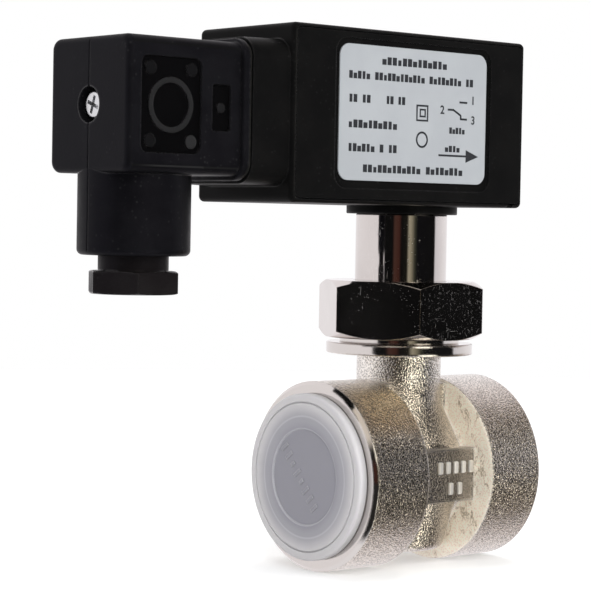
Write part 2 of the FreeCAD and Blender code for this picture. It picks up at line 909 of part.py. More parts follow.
def switch_nuts():
    nut = small_nut(3.6 * switch_screw_radius, switch_screw_radius + fit_gap, small_nut_height)
    return Part.Compound([along_y(nut, x, frame_front + sheet, z) for x, z in switch_hole_places()])


# Frame, spring and set-point screw

def frame_stop_x():
    return block_half + 2 * turn_gap


def switch_frame():
    """One folded sheet: foot under the locknut, upright behind the switch and two tabs on top."""
    back = frame_front + sheet
    tab_front = -block_half
    tab_top = block_top
    stop = frame_stop_x()
    base = box(-frame_left, frame_base_right, -frame_base_half, frame_base_half, floor_z, locknut_bottom)
    corners = [edge for edge in base.Edges if abs(edge.tangentAt(edge.FirstParameter).z) > 0.9]
    base = base.makeFillet(2.0, corners)
    upright = [
        (vector(-frame_left, frame_front, floor_z), 0), (vector(-frame_foot_right, frame_front, floor_z), 0),
        (vector(-frame_foot_right, frame_front, frame_step), 1.0),
        (vector(stop + sheet, frame_front, frame_step), 1.5),
        (vector(stop + sheet, frame_front, tab_top), 0), (vector(-frame_left, frame_front, tab_top), 2.0),
    ]
    wall = Part.Face(rounded_wire(upright)).extrude(vector(0, sheet, 0))
    stop_tab = box(stop, stop + sheet, tab_front, back, frame_tab_bottom, tab_top)
    screw_tab = box(-setpoint_tab - sheet, -setpoint_tab, tab_front, back, frame_tab_bottom, tab_top)
    frame = base.fuse([wall, stop_tab, screw_tab])
    holes = [rod_y(switch_screw_radius + fit_gap, frame_front, back, x, z) for x, z in switch_hole_places()]
    holes.append(rod_z(stem_thread_radius + fit_gap, floor_z, locknut_bottom))
    holes.append(rod_x(setpoint_radius + fit_gap, -setpoint_tab - sheet, -setpoint_tab, 0, spring_height))
    return frame.cut(holes).removeSplitter()


def return_spring():
    """A helical compression spring along X between the set-point seat and the lever head."""
    left = -spring_seat + spring_wire_radius + turn_gap
    right = -block_half - spring_wire_radius - turn_gap
    length = right - left
    helix = Part.makeHelix(length / spring_turns, length, spring_radius)
    section = Part.Wire([Part.Circle(vector(spring_radius, 0, 0), vector(0, 1, 0), spring_wire_radius).toShape()])
    coil = Part.Wire(helix.Edges).makePipeShell([section], True, True)
    return along_x(coil, left, 0, spring_height)


def setpoint_screw():
    seat_left = -spring_seat - spring_seat_thickness
    shank = rod_x(setpoint_radius, -setpoint_tab - setpoint_length, seat_left, 0, spring_height)
    seat = rod_x(spring_seat_radius, seat_left, -spring_seat, 0, spring_height)
    nose = rod_x(spring_radius - spring_wire_radius - free_gap, -spring_seat, -spring_seat + 1.0, 0, spring_height)
    end = -setpoint_tab - setpoint_length
    slot = box(end, end + 0.8, -setpoint_radius, setpoint_radius, spring_height - 0.25, spring_height + 0.25)
    return shank.fuse([seat, nose]).cut(slot).removeSplitter()


def setpoint_nut():
    nut = small_nut(setpoint_nut_flats, setpoint_radius + fit_gap, small_nut_height)
    return along_x(nut, -setpoint_tab - sheet - small_nut_height, 0, spring_height)


# Pieces of the housing

def cavity_edges():
    return (housing_left + housing_wall, housing_right - housing_wall,
            housing_bottom + housing_wall, housing_top - housing_wall)


def hook_places():
    middle = (housing_left + housing_right) / 2
    return [middle - hook_place, middle + hook_place]


def hook_boxes(grow):
    """The snap hooks on the cover's lip, or their pockets in the housing wall when grown."""
    x0, x1, z0, z1 = cavity_edges()
    y0 = cavity_front + cover_lip_depth - hook_depth - grow
    y1 = cavity_front + cover_lip_depth + grow
    half = hook_length / 2 + grow
    height = hook_height - panel_gap + grow
    hooks = []
    for x in hook_places():
        hooks.append(box(x - half, x + half, y0, y1, z0 - height, z0 + panel_gap))
        hooks.append(box(x - half, x + half, y0, y1, z1 - panel_gap, z1 + height))
    return hooks


def housing_boss():
    """The square boss towards the plug, a little smaller at its front."""
    half = boss_side / 2
    tip_half = (boss_side - boss_taper) / 2
    overlap = 0.5
    root = rounded_rectangle("x", housing_left + overlap, boss_side_cut - half, half - boss_side_cut,
                             plug_z - half, plug_z + half, boss_corner)
    tip = rounded_rectangle("x", boss_front, boss_side_cut - tip_half, tip_half - boss_side_cut,
                            plug_z - tip_half, plug_z + tip_half, boss_corner)
    return Part.makeLoft([root, tip], True, True)


def switch_housing():
    shell = box(housing_left, housing_right, housing_front, housing_back, housing_bottom, housing_top)
    shell = shell.makeFillet(housing_edge, shell.Edges)
    shell = shell.fuse(housing_boss())
    x0, x1, z0, z1 = cavity_edges()
    cavity = box(x0, x1, cavity_front, housing_back - housing_wall, z0, z1)
    opening = plate_y(housing_left + rim, housing_right - rim, housing_bottom + rim, housing_top - rim,
                      housing_edge, housing_front - 1, cavity_front)
    hollow = square_prism(boss_front - 1, boss_seat, boss_hollow, boss_hollow_corner, plug_z)
    wires = rod_x(wire_hole_radius, boss_seat, x0, 0, plug_z)
    notch_x = housing_right - notch_right
    notch = box(notch_x, notch_x + notch_length, housing_front, housing_front + rim,
                housing_bottom, housing_bottom + rim)
    floor_hole = rod_z(stem_thread_radius + fit_gap, housing_bottom, floor_z)
    pilot_end = base_front + base_screw_length + base_pilot_over
    pilots = [rod_x(base_screw_radius - 0.15, boss_seat, pilot_end, y, z) for y, z in base_screw_places()]
    shell = shell.cut([opening, cavity.fuse(wires), hollow, notch, floor_hole] + pilots)
    return shell.cut(hook_boxes(fit_gap)).removeSplitter()


def cover_seal():
    x0 = housing_left + rim + panel_gap
    x1 = housing_right - rim - panel_gap
    z0 = housing_bottom + rim + panel_gap
    z1 = housing_top - rim - panel_gap
    width = housing_wall - rim - panel_gap
    y0 = cavity_front - seal_thickness
    ring = plate_y(x0, x1, z0, z1, housing_edge - panel_gap, y0, cavity_front)
    return ring.cut(box(x0 + width, x1 - width, y0, cavity_front, z0 + width, z1 - width))


def front_cover():
    x0 = housing_left + rim + panel_gap
    x1 = housing_right - rim - panel_gap
    z0 = housing_bottom + rim + panel_gap
    z1 = housing_top - rim - panel_gap
    y0 = housing_front + rim_step
    y1 = y0 + cover_thickness
    plate = plate_y(x0, x1, z0, z1, housing_edge - panel_gap, y0, y1)
    cx0, cx1, cz0, cz1 = cavity_edges()
    lip_end = cavity_front + cover_lip_depth
    outer = box(cx0 + panel_gap, cx1 - panel_gap, y1, lip_end, cz0 + panel_gap, cz1 - panel_gap)
    inset = panel_gap + cover_lip
    inner = box(cx0 + inset, cx1 - inset, y1, lip_end, cz0 + inset, cz1 - inset)
    lip = outer.cut(inner)
    recess = plate_y(-label_left - label_margin, -label_left + label_length + label_margin,
                     housing_bottom + label_bottom - label_foot_margin,
                     housing_bottom + label_bottom + label_height + label_margin,
                     label_corner + label_margin / 2, y0 - 1, y0 + label_recess)
    relief = box(-frame_left - free_gap, frame_base_right + free_gap, y1, lip_end, cz0, cz0 + inset)
    relief.translate(vector(0, 0, -panel_gap))
    return plate.fuse([lip] + hook_boxes(0)).cut([recess, relief]).removeSplitter()


def rating_label():
    y1 = housing_front + rim_step + label_recess
    z0 = housing_bottom + label_bottom
    return plate_y(-label_left, -label_left + label_length, z0, z0 + label_height, label_corner,
                   y1 - label_thickness, y1)


# Contact base, blades and gasket

def blade_places():
    """Centre of each blade and whether it lies flat; the last one is the earth blade."""
    return [(-blade_offset, 0, False), (blade_offset, 0, False), (0, blade_offset, True), (0, -blade_offset, True)]


def blade_bar(place, x0, x1, grow):
    y, z, flat = place
    half_width = blade_width / 2 + grow
    half_thickness = blade_thickness / 2 + grow
    dy, dz = (half_width, half_thickness) if flat else (half_thickness, half_width)
    return box(x0, x1, y - dy, y + dy, plug_z + z - dz, plug_z + z + dz)


def base_screw_places():
    o = base_screw_offset
    return [(-o, plug_z + o), (o, plug_z - o)]


def contact_base():
    base = square_prism(base_front, boss_seat, base_side, boss_hollow_corner, plug_z)
    slots = [blade_bar(place, base_front, boss_seat, fit_gap) for place in blade_places()]
    hole = rod_x(plug_screw_radius + fit_gap, base_front, boss_seat, 0, plug_z)
    heads = []
    for y, z in base_screw_places():
        heads.append(rod_x(base_screw_head_radius + fit_gap, base_front, base_front + base_screw_head_height, y, z))
        heads.append(rod_x(base_screw_radius + fit_gap, base_front, boss_seat, y, z))
    return base.cut(slots + [hole] + heads)


def blade(place):
    bar = blade_bar(place, blade_tip, boss_seat + blade_tail, 0)
    tips = [edge for edge in bar.Edges if edge_is_at_tip(edge, blade_tip)]
    return bar.makeChamfer(blade_thickness / 3, tips)


def edge_is_at_tip(edge, x):
    return edge.Length > blade_thickness * 1.5 and all(abs(v.X - x) < 1e-6 for v in edge.Vertexes)


def contact_blades():
    return Part.Compound([blade(place) for place in blade_places()[:3]])


def earth_blade():
    return blade(blade_places()[3])


def base_screws():
    screws = []
    for y, z in base_screw_places():
        seat = base_front + base_screw_head_height
        head = rod_x(base_screw_head_radius, base_front + 0.2, seat, y, z)
        shank = rod_x(base_screw_radius - 0.2, seat, base_front + base_screw_length, y, z)
        slot = box(base_front + 0.2, base_front + 0.8, y - base_screw_head_radius, y + base_screw_head_radius,
                   z - 0.3, z + 0.3)
        screws.append(head.fuse(shank).cut(slot).removeSplitter())
    return Part.Compound(screws)


def plug_gasket():
    side = boss_hollow + 2 * plug_gasket_width
    outer = square_prism(gasket_front, boss_front, side, boss_corner - 1, plug_z)
    inner = square_prism(gasket_front, boss_front, boss_hollow, boss_hollow_corner, plug_z)
    return outer.cut(inner)


# Pieces of the plug

def plug_shell():
    """Outer form of the plug: a square body, a wider rim at its mouth and the gland neck."""
    body = square_prism(plug_left, plug_right, plug_side, plug_corner, plug_z)
    end_edges = [edge for edge in body.Edges if all(abs(v.X - plug_left) < 1e-6 for v in edge.Vertexes)]
    body = body.makeFillet(plug_end_edge, end_edges)
    rim_bar = square_prism(plug_right - plug_flange_length, plug_right, plug_flange_side,
                           plug_flange_corner, plug_z)
    left_edges = [edge for edge in rim_bar.Edges
                  if all(abs(v.X - plug_right + plug_flange_length) < 1e-6 for v in edge.Vertexes)]
    rim_bar = rim_bar.makeFillet(0.5, left_edges)
    neck = turned([
        (0, neck_bottom, 0), (gland_neck_radius, neck_bottom, gland_neck_edge),
        (gland_neck_radius, plug_floor_z + plug_wall / 2, 0), (0, plug_floor_z + plug_wall / 2, 0),
    ], vector(0, 0, 1))
    neck.translate(vector(gland_x, 0, 0))
    return body.fuse([rim_bar, neck])


def plug_panels():
    """Cuts for the two shallow panels on the side that faces -Y."""
    face = -plug_side / 2
    x0 = plug_left + panel_left
    z0 = plug_z - panel_height / 2
    big = plate_y(x0, x0 + panel_length, z0, z0 + panel_height, panel_corner, face - 1, face + panel_depth)
    sx = plug_left + slot_left
    small = plate_y(sx, sx + slot_length, plug_z - slot_height / 2, plug_z + slot_height / 2,
                    0.4, face - 1, face + panel_depth)
    return [big, small]


def plug_marks():
    """Raised ring and discs in the panels, level with the face around them."""
    face = -plug_side / 2
    depth = face + panel_depth
    top = face + panel_depth * 0.4
    x = plug_left + panel_left + panel_length / 2
    marks = [ring_y(ring_mark_radius, ring_mark_radius - ring_mark_band, top, depth, x, plug_z)]
    dx = panel_length / 2 - disc_inset
    dz = panel_height / 2 - disc_inset
    for sx in (-1, 1):
        for sz in (-1, 1):
            marks.append(rod_y(disc_radius, top, depth, x + sx * dx, plug_z + sz * dz))
    marks.append(rod_y(slot_dot_radius, top, depth, plug_left + slot_left + slot_length / 2, plug_z))
    return marks


def plug_housing():
    shell = plug_shell()
    hollow = square_prism(plug_left + plug_end_wall, plug_right, plug_hollow, plug_corner / 2, plug_z)
    well_bottom = plug_left + screw_well_depth
    pillar = rod_x(screw_well_radius + plug_wall / 2, plug_left + plug_end_wall, well_bottom + plug_wall, 0, plug_z)
    well = rod_x(screw_well_radius, plug_left, well_bottom, 0, plug_z)
    screw_hole = rod_x(plug_screw_radius + 2 * fit_gap, well_bottom, well_bottom + plug_wall, 0, plug_z)
    entry = rod_z(gland_entry_radius, neck_bottom, plug_z - plug_hollow / 2, gland_x)
    thread = rod_z(gland_thread_radius + thread_gap, neck_bottom, gland_seal_top(), gland_x)
    seam = box(plug_left, plug_left + seam_depth, -seam_width / 2, seam_width / 2, neck_bottom,
               plug_z + plug_side / 2)
    neck_ring = ring_z(gland_neck_radius + 1, gland_neck_radius - seam_depth, neck_bottom, plug_floor_z, gland_x)
    neck_seam = neck_ring.common(box(plug_left - 1, gland_x, -seam_width / 2, seam_width / 2,
                                     neck_bottom, plug_floor_z))
    shell = shell.cut([hollow, entry, thread]).fuse(pillar)
    shell = shell.cut([well, screw_hole, seam, neck_seam] + plug_panels())
    return shell.fuse(plug_marks()).removeSplitter()


def contact_carrier():
    """The insert in the plug that takes the blades."""
    left = carrier_left
    right = carrier_right
    block = square_prism(left, right, carrier_side, plug_corner / 2, plug_z)
    slots = [blade_bar(place, right - carrier_slot_depth, right, free_gap) for place in blade_places()]
    hole = rod_x(plug_screw_radius + free_gap, left, right, 0, plug_z)
    pilot_end = left + terminal_screw_length + terminal_pilot_over
    pilots = [rod_x(terminal_screw_radius + fit_gap, left, pilot_end, y, z) for y, z in terminal_screw_places()]
    lead_in = [rod_x(base_screw_head_radius, right - 1.0, right, y, z) for y, z in base_screw_places()]
    return block.cut(slots + [hole] + pilots + lead_in)


def terminal_screw_places():
    o = terminal_screw_offset
    return [(sy * o, plug_z + sz * o) for sy in (-1, 1) for sz in (-1, 1)]


def terminal_screws():
    left = carrier_left
    screws = []
    for y, z in terminal_screw_places():
        head = rod_x(terminal_screw_head_radius, left - terminal_screw_height, left, y, z)
        shank = rod_x(terminal_screw_radius, left, left + terminal_screw_length, y, z)
        slot = box(left - terminal_screw_height, left - terminal_screw_height + 0.6,
                   y - terminal_screw_head_radius, y + terminal_screw_head_radius, z - 0.3, z + 0.3)
        screws.append(head.fuse(shank).cut(slot).removeSplitter())
    return Part.Compound(screws)


def screw_seat_x():
    return plug_left + screw_well_depth - screw_seal_thickness - turn_gap


def plug_screw():
    seat = screw_seat_x()
    head_left = seat - plug_screw_head_height
    tip = base_front + plug_screw_grip
    head = turned([
        (0, head_left, 0), (plug_screw_head_radius, head_left, 0.5),
        (plug_screw_head_radius, seat, 0), (0, seat, 0),
    ], vector(1, 0, 0))
    head.translate(vector(0, 0, plug_z))
    shank = rod_x(plug_screw_radius, seat, tip, 0, plug_z)
    half = recess_cross_length / 2
    width = recess_cross_width / 2
    depth = head_left + recess_cross_depth
    cross = [
        box(head_left, depth, -half, half, plug_z - width, plug_z + width),
        box(head_left, depth, -width, width, plug_z - half, plug_z + half),
    ]
    for cut in cross:
        cut.rotate(vector(0, 0, plug_z), vector(1, 0, 0), 20)
    return head.fuse(shank).cut(cross).removeSplitter()


def screw_seal():
    left = screw_seat_x() + turn_gap
    right = left + screw_seal_thickness
    outer = rod_x(screw_seal_radius, left, right, 0, plug_z)
    return outer.cut(rod_x(plug_screw_radius + 2 * fit_gap, left, right, 0, plug_z))


# Cable gland

def gland_nut_top():
    return neck_bottom + gland_nut_in


def gland_washer_top():
    return gland_nut_top() + turn_gap + gland_washer_thickness


def gland_seal_top():
    return gland_washer_top() + gland_seal_height


def gland_nut():
    head_top = neck_bottom - gland_nut_show
    head_bottom = head_top - gland_nut_height
    head = chamfered_hexagon(gland_nut_flats, gland_nut_height, gland_nut_angle)
    head.translate(vector(0, 0, head_bottom))
    shank = rod_z(gland_thread_radius, head_top, gland_nut_top())
    nut = head.fuse(shank).cut(rod_z(gland_bore_radius, head_bottom, gland_nut_top()))
    nut.translate(vector(gland_x, 0, 0))
    return nut.removeSplitter()


def gland_washer():
    return ring_z(gland_thread_radius, gland_bore_radius, gland_nut_top() + turn_gap, gland_washer_top(), gland_x)


def gland_seal():
    inner = gland_bore_radius + free_gap
    outer = gland_thread_radius
    seal = turned([
        (inner, gland_washer_top(), 0.4), (outer, gland_washer_top(), 0),
        (outer, gland_seal_top(), 0), (inner, gland_seal_top(), 0.4),
    ], vector(0, 0, 1))
    seal.translate(vector(gland_x, 0, 0))
    return seal


# Leads from the switch to the blades

def switch_lead(name, terminal_z, blade_y, blade_z):
    start_x = switch_x - switch_height - terminal_length
    end_x = boss_seat + blade_tail
    points = [
        vector(start_x, switch_y, terminal_z),
        vector(start_x - lead_end_run, switch_y, terminal_z),
        vector(end_x + lead_end_run, blade_y, plug_z + blade_z),
        vector(end_x, blade_y, plug_z + blade_z),
    ]
    return lead(name, points)


low_z, middle_z, high_z = terminal_places()

nodes = {
    "tee_body": tee_body(),
    "branch_gasket": branch_gasket(),
    "inlet_cap": inlet_cap(),
    "union_nut": union_nut(),
    "stem": stem(),
    "collar": collar(),
    "stem_locknut": stem_locknut(),
    "bearing_block": bearing_block(),
    "pivot_pin": pivot_pin(),
    "bellows": bellows(),
    "paddle": paddle(),
    "paddle_rivets": paddle_rivets(),
    "lever_rod": lever_rod(),
    "lever_head": lever_head(),
    "clamp_screw": clamp_screw(),
    "contact_screw": contact_screw(),
    "contact_nut": contact_nut(),
    "switch_case": switch_case(),
    "switch_plunger": switch_plunger(),
    "switch_leaf": switch_leaf(),
    "switch_terminals": switch_terminals(),
    "switch_screws": switch_screws(),
    "switch_nuts": switch_nuts(),
    "switch_frame": switch_frame(),
    "return_spring": return_spring(),
    "setpoint_screw": setpoint_screw(),
    "setpoint_nut": setpoint_nut(),
    "switch_housing": switch_housing(),
    "cover_seal": cover_seal(),
    "front_cover": front_cover(),
    "rating_label": rating_label(),
    "contact_base": contact_base(),
    "contact_blades": contact_blades(),
    "earth_blade": earth_blade(),
    "base_screws": base_screws(),
    "plug_gasket": plug_gasket(),
    "plug_housing": plug_housing(),
    "contact_carrier": contact_carrier(),
    "terminal_screws": terminal_screws(),
    "plug_screw": plug_screw(),
    "screw_seal": screw_seal(),
    "gland_nut": gland_nut(),
    "gland_washer": gland_washer(),
    "gland_seal": gland_seal(),
    "lead_common": switch_lead("lead_common", low_z, -blade_offset, 0),
    "lead_closing": switch_lead("lead_closing", middle_z, blade_offset, 0),
    "lead_opening": switch_lead("lead_opening", high_z, 0, blade_offset),
}

os.makedirs("parts", exist_ok=True)
for name, shape in nodes.items():
    shape.exportStep("parts/" + name + ".step")
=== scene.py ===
# Flow switch on a tee: finishes, printed label, moulded marks, pipe threads, copies of the bending pieces and
# studio
import bpy
import json
import math
from mathutils import Vector, Matrix


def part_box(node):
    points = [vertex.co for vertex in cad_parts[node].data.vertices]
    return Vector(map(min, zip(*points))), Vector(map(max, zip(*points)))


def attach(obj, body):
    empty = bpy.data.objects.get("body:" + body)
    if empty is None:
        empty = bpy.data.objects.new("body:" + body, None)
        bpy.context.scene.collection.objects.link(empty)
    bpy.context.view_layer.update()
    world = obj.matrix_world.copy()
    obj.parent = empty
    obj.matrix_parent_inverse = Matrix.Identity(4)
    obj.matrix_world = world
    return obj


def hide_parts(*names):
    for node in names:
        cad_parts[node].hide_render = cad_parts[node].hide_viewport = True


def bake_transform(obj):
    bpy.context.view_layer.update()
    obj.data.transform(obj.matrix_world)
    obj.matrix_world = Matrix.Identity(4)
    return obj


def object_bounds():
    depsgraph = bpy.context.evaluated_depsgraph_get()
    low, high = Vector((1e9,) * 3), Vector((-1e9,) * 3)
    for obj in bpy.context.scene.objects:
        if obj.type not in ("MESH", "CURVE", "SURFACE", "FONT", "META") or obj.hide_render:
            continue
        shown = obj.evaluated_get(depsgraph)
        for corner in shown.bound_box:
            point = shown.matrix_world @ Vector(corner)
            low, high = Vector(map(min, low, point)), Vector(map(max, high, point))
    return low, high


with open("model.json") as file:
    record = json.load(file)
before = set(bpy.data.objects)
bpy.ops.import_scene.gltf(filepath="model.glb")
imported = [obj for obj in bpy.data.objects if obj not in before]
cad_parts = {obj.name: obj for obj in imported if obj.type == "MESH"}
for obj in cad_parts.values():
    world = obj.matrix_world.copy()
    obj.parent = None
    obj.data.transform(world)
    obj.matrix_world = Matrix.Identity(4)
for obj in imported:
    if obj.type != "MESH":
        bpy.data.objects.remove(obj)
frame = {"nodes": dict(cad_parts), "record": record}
cadBox = [list(corner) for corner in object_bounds()]
nodes = frame["nodes"]
scene = bpy.context.scene
mm = 0.001
print("frame loaded:", len(nodes), "parts")


# Camera at the photo's angle, aimed from the fit of the photo
cameraSettings = {
    "target": (-30.4, 0.0, 38.8),   # mm
    "azimuth": 40.6,                # degrees from -Y towards -X
    "elevation": 1.92,
    "roll": -1.06,
    "distance": 454.4,              # mm
    "lens": 130.74,
    "sensor": 36.0,
    "clipStart": 10.0,              # mm
}


def addCamera(settings):
    azimuth = math.radians(settings["azimuth"])
    elevation = math.radians(settings["elevation"])
    roll = math.radians(settings["roll"])
    back = Vector((-math.sin(azimuth) * math.cos(elevation), -math.cos(azimuth) * math.cos(elevation),
                   math.sin(elevation)))
    level = Vector((math.cos(azimuth), -math.sin(azimuth), 0.0))
    over = back.cross(level)
    right = math.cos(roll) * level - math.sin(roll) * over
    up = math.sin(roll) * level + math.cos(roll) * over
    place = Vector(settings["target"]) * mm + back * settings["distance"] * mm
    turn = Matrix((right, up, back)).transposed().to_4x4()
    data = bpy.data.cameras.new("photoCamera")
    data.lens = settings["lens"]
    data.sensor_width = settings["sensor"]
    data.clip_start = settings["clipStart"] * mm
    camera = bpy.data.objects.new("photoCamera", data)
    scene.collection.objects.link(camera)
    camera.matrix_world = Matrix.Translation(place) @ turn
    scene.camera = camera


addCamera(cameraSettings)
scene.view_settings.view_transform = "Standard"


# Small helpers for node trees
def newMaterial(name):
    material = bpy.data.materials.new(name)
    material.use_nodes = True
    tree = material.node_tree
    return material, tree, tree.nodes["Principled BSDF"]


def addNode(tree, kind, **values):
    node = tree.nodes.new(kind)
    for key, value in values.items():
        setattr(node, key, value)
    return node


def feed(tree, socket, value):
    # links another node's output, or sets a number, a vector or a colour
    if isinstance(value, bpy.types.NodeSocket):
        tree.links.new(value, socket)
    elif socket.type == "RGBA":
        socket.default_value = (*value, 1.0)
    else:
        socket.default_value = value


def feedAll(tree, node, **values):
    for key, value in values.items():
        feed(tree, node.inputs[key.replace("_", " ")], value)


def mathNode(tree, operation, *values, clamp=False):
    node = addNode(tree, "ShaderNodeMath", operation=operation, use_clamp=clamp)
    for i, value in enumerate(values):
        feed(tree, node.inputs[i], value)
    return node.outputs[0]


def vectorMath(tree, operation, *values):
    node = addNode(tree, "ShaderNodeVectorMath", operation=operation)
    for i, value in enumerate(values):
        feed(tree, node.inputs[i], value)
    return node.outputs["Value"]


def times(tree, *values):
    product = values[0]
    for value in values[1:]:
        product = mathNode(tree, "MULTIPLY", product, value)
    return product


def beyond(tree, value, place):
    # 1 past a place in mm, and 0 before it
    return mathNode(tree, "GREATER_THAN", value, place * mm)


def within(tree, value, place):
    return mathNode(tree, "LESS_THAN", value, place * mm)


def either(tree, *masks):
    return mathNode(tree, "MAXIMUM", *masks)


def restOf(tree, mask):
    return mathNode(tree, "SUBTRACT", 1.0, mask)


def mixColours(tree, factor, first, second):
    node = addNode(tree, "ShaderNodeMix", data_type="RGBA")
    for i, value in ((0, factor), (6, first), (7, second)):
        feed(tree, node.inputs[i], value)
    return node.outputs[2]


def mixValues(tree, factor, first, second):
    node = addNode(tree, "ShaderNodeMix", data_type="FLOAT")
    for i, value in ((0, factor), (2, first), (3, second)):
        feed(tree, node.inputs[i], value)
    return node.outputs[0]


def smoothStep(tree, value, low, high):
    node = addNode(tree, "ShaderNodeMapRange", interpolation_type="SMOOTHSTEP")
    feedAll(tree, node, Value=value, From_Min=low, From_Max=high, To_Min=0.0, To_Max=1.0)
    return node.outputs["Result"]


def stepAt(tree, value, places):
    # a soft step between two places given in mm
    return smoothStep(tree, value, places[0] * mm, places[1] * mm)


def objectPoint(tree):
    return addNode(tree, "ShaderNodeTexCoord").outputs["Object"]


def surfaceNormal(tree):
    return addNode(tree, "ShaderNodeNewGeometry").outputs["Normal"]


def splitUp(tree, vector):
    node = addNode(tree, "ShaderNodeSeparateXYZ")
    feed(tree, node.inputs[0], vector)
    return [node.outputs[axis] for axis in "XYZ"]


def stretched(tree, point, scale, turn=(0.0, 0.0, 0.0)):
    node = addNode(tree, "ShaderNodeMapping")
    feedAll(tree, node, Vector=point, Scale=scale, Rotation=turn)
    return node.outputs["Vector"]


def fromPipeAxis(tree, point):
    return vectorMath(tree, "LENGTH", stretched(tree, point, (0.0, 1.0, 1.0)))


def noiseAt(tree, point, scale, detail=3.0, roughness=0.55):
    node = addNode(tree, "ShaderNodeTexNoise")
    feedAll(tree, node, Vector=point, Scale=scale, Detail=detail, Roughness=roughness)
    return node.outputs["Fac"]


def cellsAt(tree, point, scale):
    node = addNode(tree, "ShaderNodeTexVoronoi", feature="F1")
    feedAll(tree, node, Vector=point, Scale=scale)
    return node


def bumpFrom(tree, height, depth, **over):
    node = addNode(tree, "ShaderNodeBump")
    feedAll(tree, node, Height=height, Distance=depth, Strength=1.0, **over)
    return node.outputs["Normal"]


# Shader groups used by several finishes
cloudLevels = (0.35, 0.65)          # the part of a soft noise that turns into patches


def newGroup(name, inputs, outputs):
    # inputs are numbers with their usual values, and every output but Normal is a number
    group = bpy.data.node_groups.new(name, "ShaderNodeTree")
    for socketName, value in inputs.items():
        socket = group.interface.new_socket(socketName, in_out="INPUT", socket_type="NodeSocketFloat")
        socket.default_value = value
    for socketName in outputs:
        kind = "NodeSocketVector" if socketName == "Normal" else "NodeSocketFloat"
        group.interface.new_socket(socketName, in_out="OUTPUT", socket_type=kind)
    return group, group.nodes.new("NodeGroupInput").outputs, group.nodes.new("NodeGroupOutput").inputs


edgeWear = {"samples": 6, "bendLevels": (0.01, 0.16), "noise": (4.0, 0.65)}     # noise: detail, roughness


def makeEdgeGroup(settings):
    # finds the rounded edges by comparing the true normal with a rounded one; the paler colour put on them is
    # wear, and on the housing, plug and tee also a painted edge highlight
    group, entry, leave = newGroup("edgeWear", {"Width": 0.0004, "Scale": 900.0, "Breakup": 0.5},
                                   ("Mask", "Normal"))
    bevel = addNode(group, "ShaderNodeBevel", samples=settings["samples"])
    feedAll(group, bevel, Radius=entry["Width"])
    rounded = bevel.outputs["Normal"]
    agree = vectorMath(group, "DOT_PRODUCT", rounded, surfaceNormal(group))
    bend = smoothStep(group, restOf(group, agree), *settings["bendLevels"])
    noise = noiseAt(group, objectPoint(group), entry["Scale"], *settings["noise"])
    kept = restOf(group, times(group, entry["Breakup"], smoothStep(group, noise, *cloudLevels)))
    feed(group, leave["Mask"], mathNode(group, "MULTIPLY", bend, kept, clamp=True))
    feed(group, leave["Normal"], rounded)
    return group


mouldGrain = {"fine": (2.0, 0.6), "wave": (4.0, 0.6), "waveHeight": 0.6}


def makeGrainGroup(settings):
    # moulded plastic: fine pitting over a slow waviness, and a mask that mottles the gloss
    group, entry, leave = newGroup("mouldGrain", {"Scale": 2500.0, "Wave": 120.0}, ("Height", "Mottle"))
    point = objectPoint(group)
    fine = noiseAt(group, point, entry["Scale"], *settings["fine"])
    wave = noiseAt(group, point, entry["Wave"], *settings["wave"])
    feed(group, leave["Height"], mathNode(group, "MULTIPLY_ADD", wave, settings["waveHeight"], fine))
    feed(group, leave["Mottle"], smoothStep(group, wave, *cloudLevels))
    return group


dustSpecks = {
    "speckLevels": (0.30, 0.12), "driftScale": 160.0, "driftLevels": (0.42, 0.62), "driftShare": 0.7,
}


def makeDustGroup(settings):
    # scattered specks in drifts, thicker where the surface faces up
    group, entry, leave = newGroup("dustSpecks", {"Scale": 900.0, "Amount": 0.3, "Upward": 0.5}, ("Mask",))
    point = objectPoint(group)
    cells = cellsAt(group, point, entry["Scale"])
    speck = smoothStep(group, cells.outputs["Distance"], *settings["speckLevels"])
    chosen = addNode(group, "ShaderNodeSeparateColor")
    feed(group, chosen.inputs[0], cells.outputs["Color"])
    rare = mathNode(group, "LESS_THAN", chosen.outputs[0], entry["Amount"])
    drift = noiseAt(group, point, settings["driftScale"], detail=4.0)
    drift = smoothStep(group, drift, *settings["driftLevels"])
    normalZ = splitUp(group, surfaceNormal(group))[2]
    up = times(group, mathNode(group, "MAXIMUM", normalZ, 0.0), entry["Upward"])
    weight = mathNode(group, "ADD", times(group, drift, settings["driftShare"]), up, clamp=True)
    feed(group, leave["Mask"], times(group, speck, rare, weight))
    return group


# scales are shares of the group's own scale
beadBlast = {
    "gritScale": 1.3, "grit": (1.0, 0.5), "gritHeight": 1.3, "deepLevels": (1.20, 0.92),
    "toneScale": 0.02, "tone": (6.0, 0.65),
}


def makeBlastGroup(settings):
    # bead-blasted metal: fine round dents with a little unevenness under them
    group, entry, leave = newGroup("beadBlast", {"Scale": 2400.0}, ("Height", "Deep", "Tone"))
    point = objectPoint(group)
    dents = cellsAt(group, point, entry["Scale"])
    grit = noiseAt(group, point, times(group, entry["Scale"], settings["gritScale"]), *settings["grit"])
    height = mathNode(group, "MULTIPLY_ADD", grit, settings["gritHeight"], dents.outputs["Distance"])
    tone = noiseAt(group, point, times(group, entry["Scale"], settings["toneScale"]), *settings["tone"])
    feed(group, leave["Height"], height)
    feed(group, leave["Deep"], smoothStep(group, height, *settings["deepLevels"]))
    feed(group, leave["Tone"], tone)
    return group


handlingMarks = {
    # the turn and the stretch of each set of strokes
    "strokes": (((0.5, 0.35, 0.65), (9.0, 9.0, 0.5)), ((2.1, 1.47, 2.73), (0.6, 9.0, 8.0))),
    "strokeNoise": (2.0, 0.5), "strokeLevels": (0.66, 0.72), "patchScale": 140.0, "patchLevels": (0.45, 0.6),
}


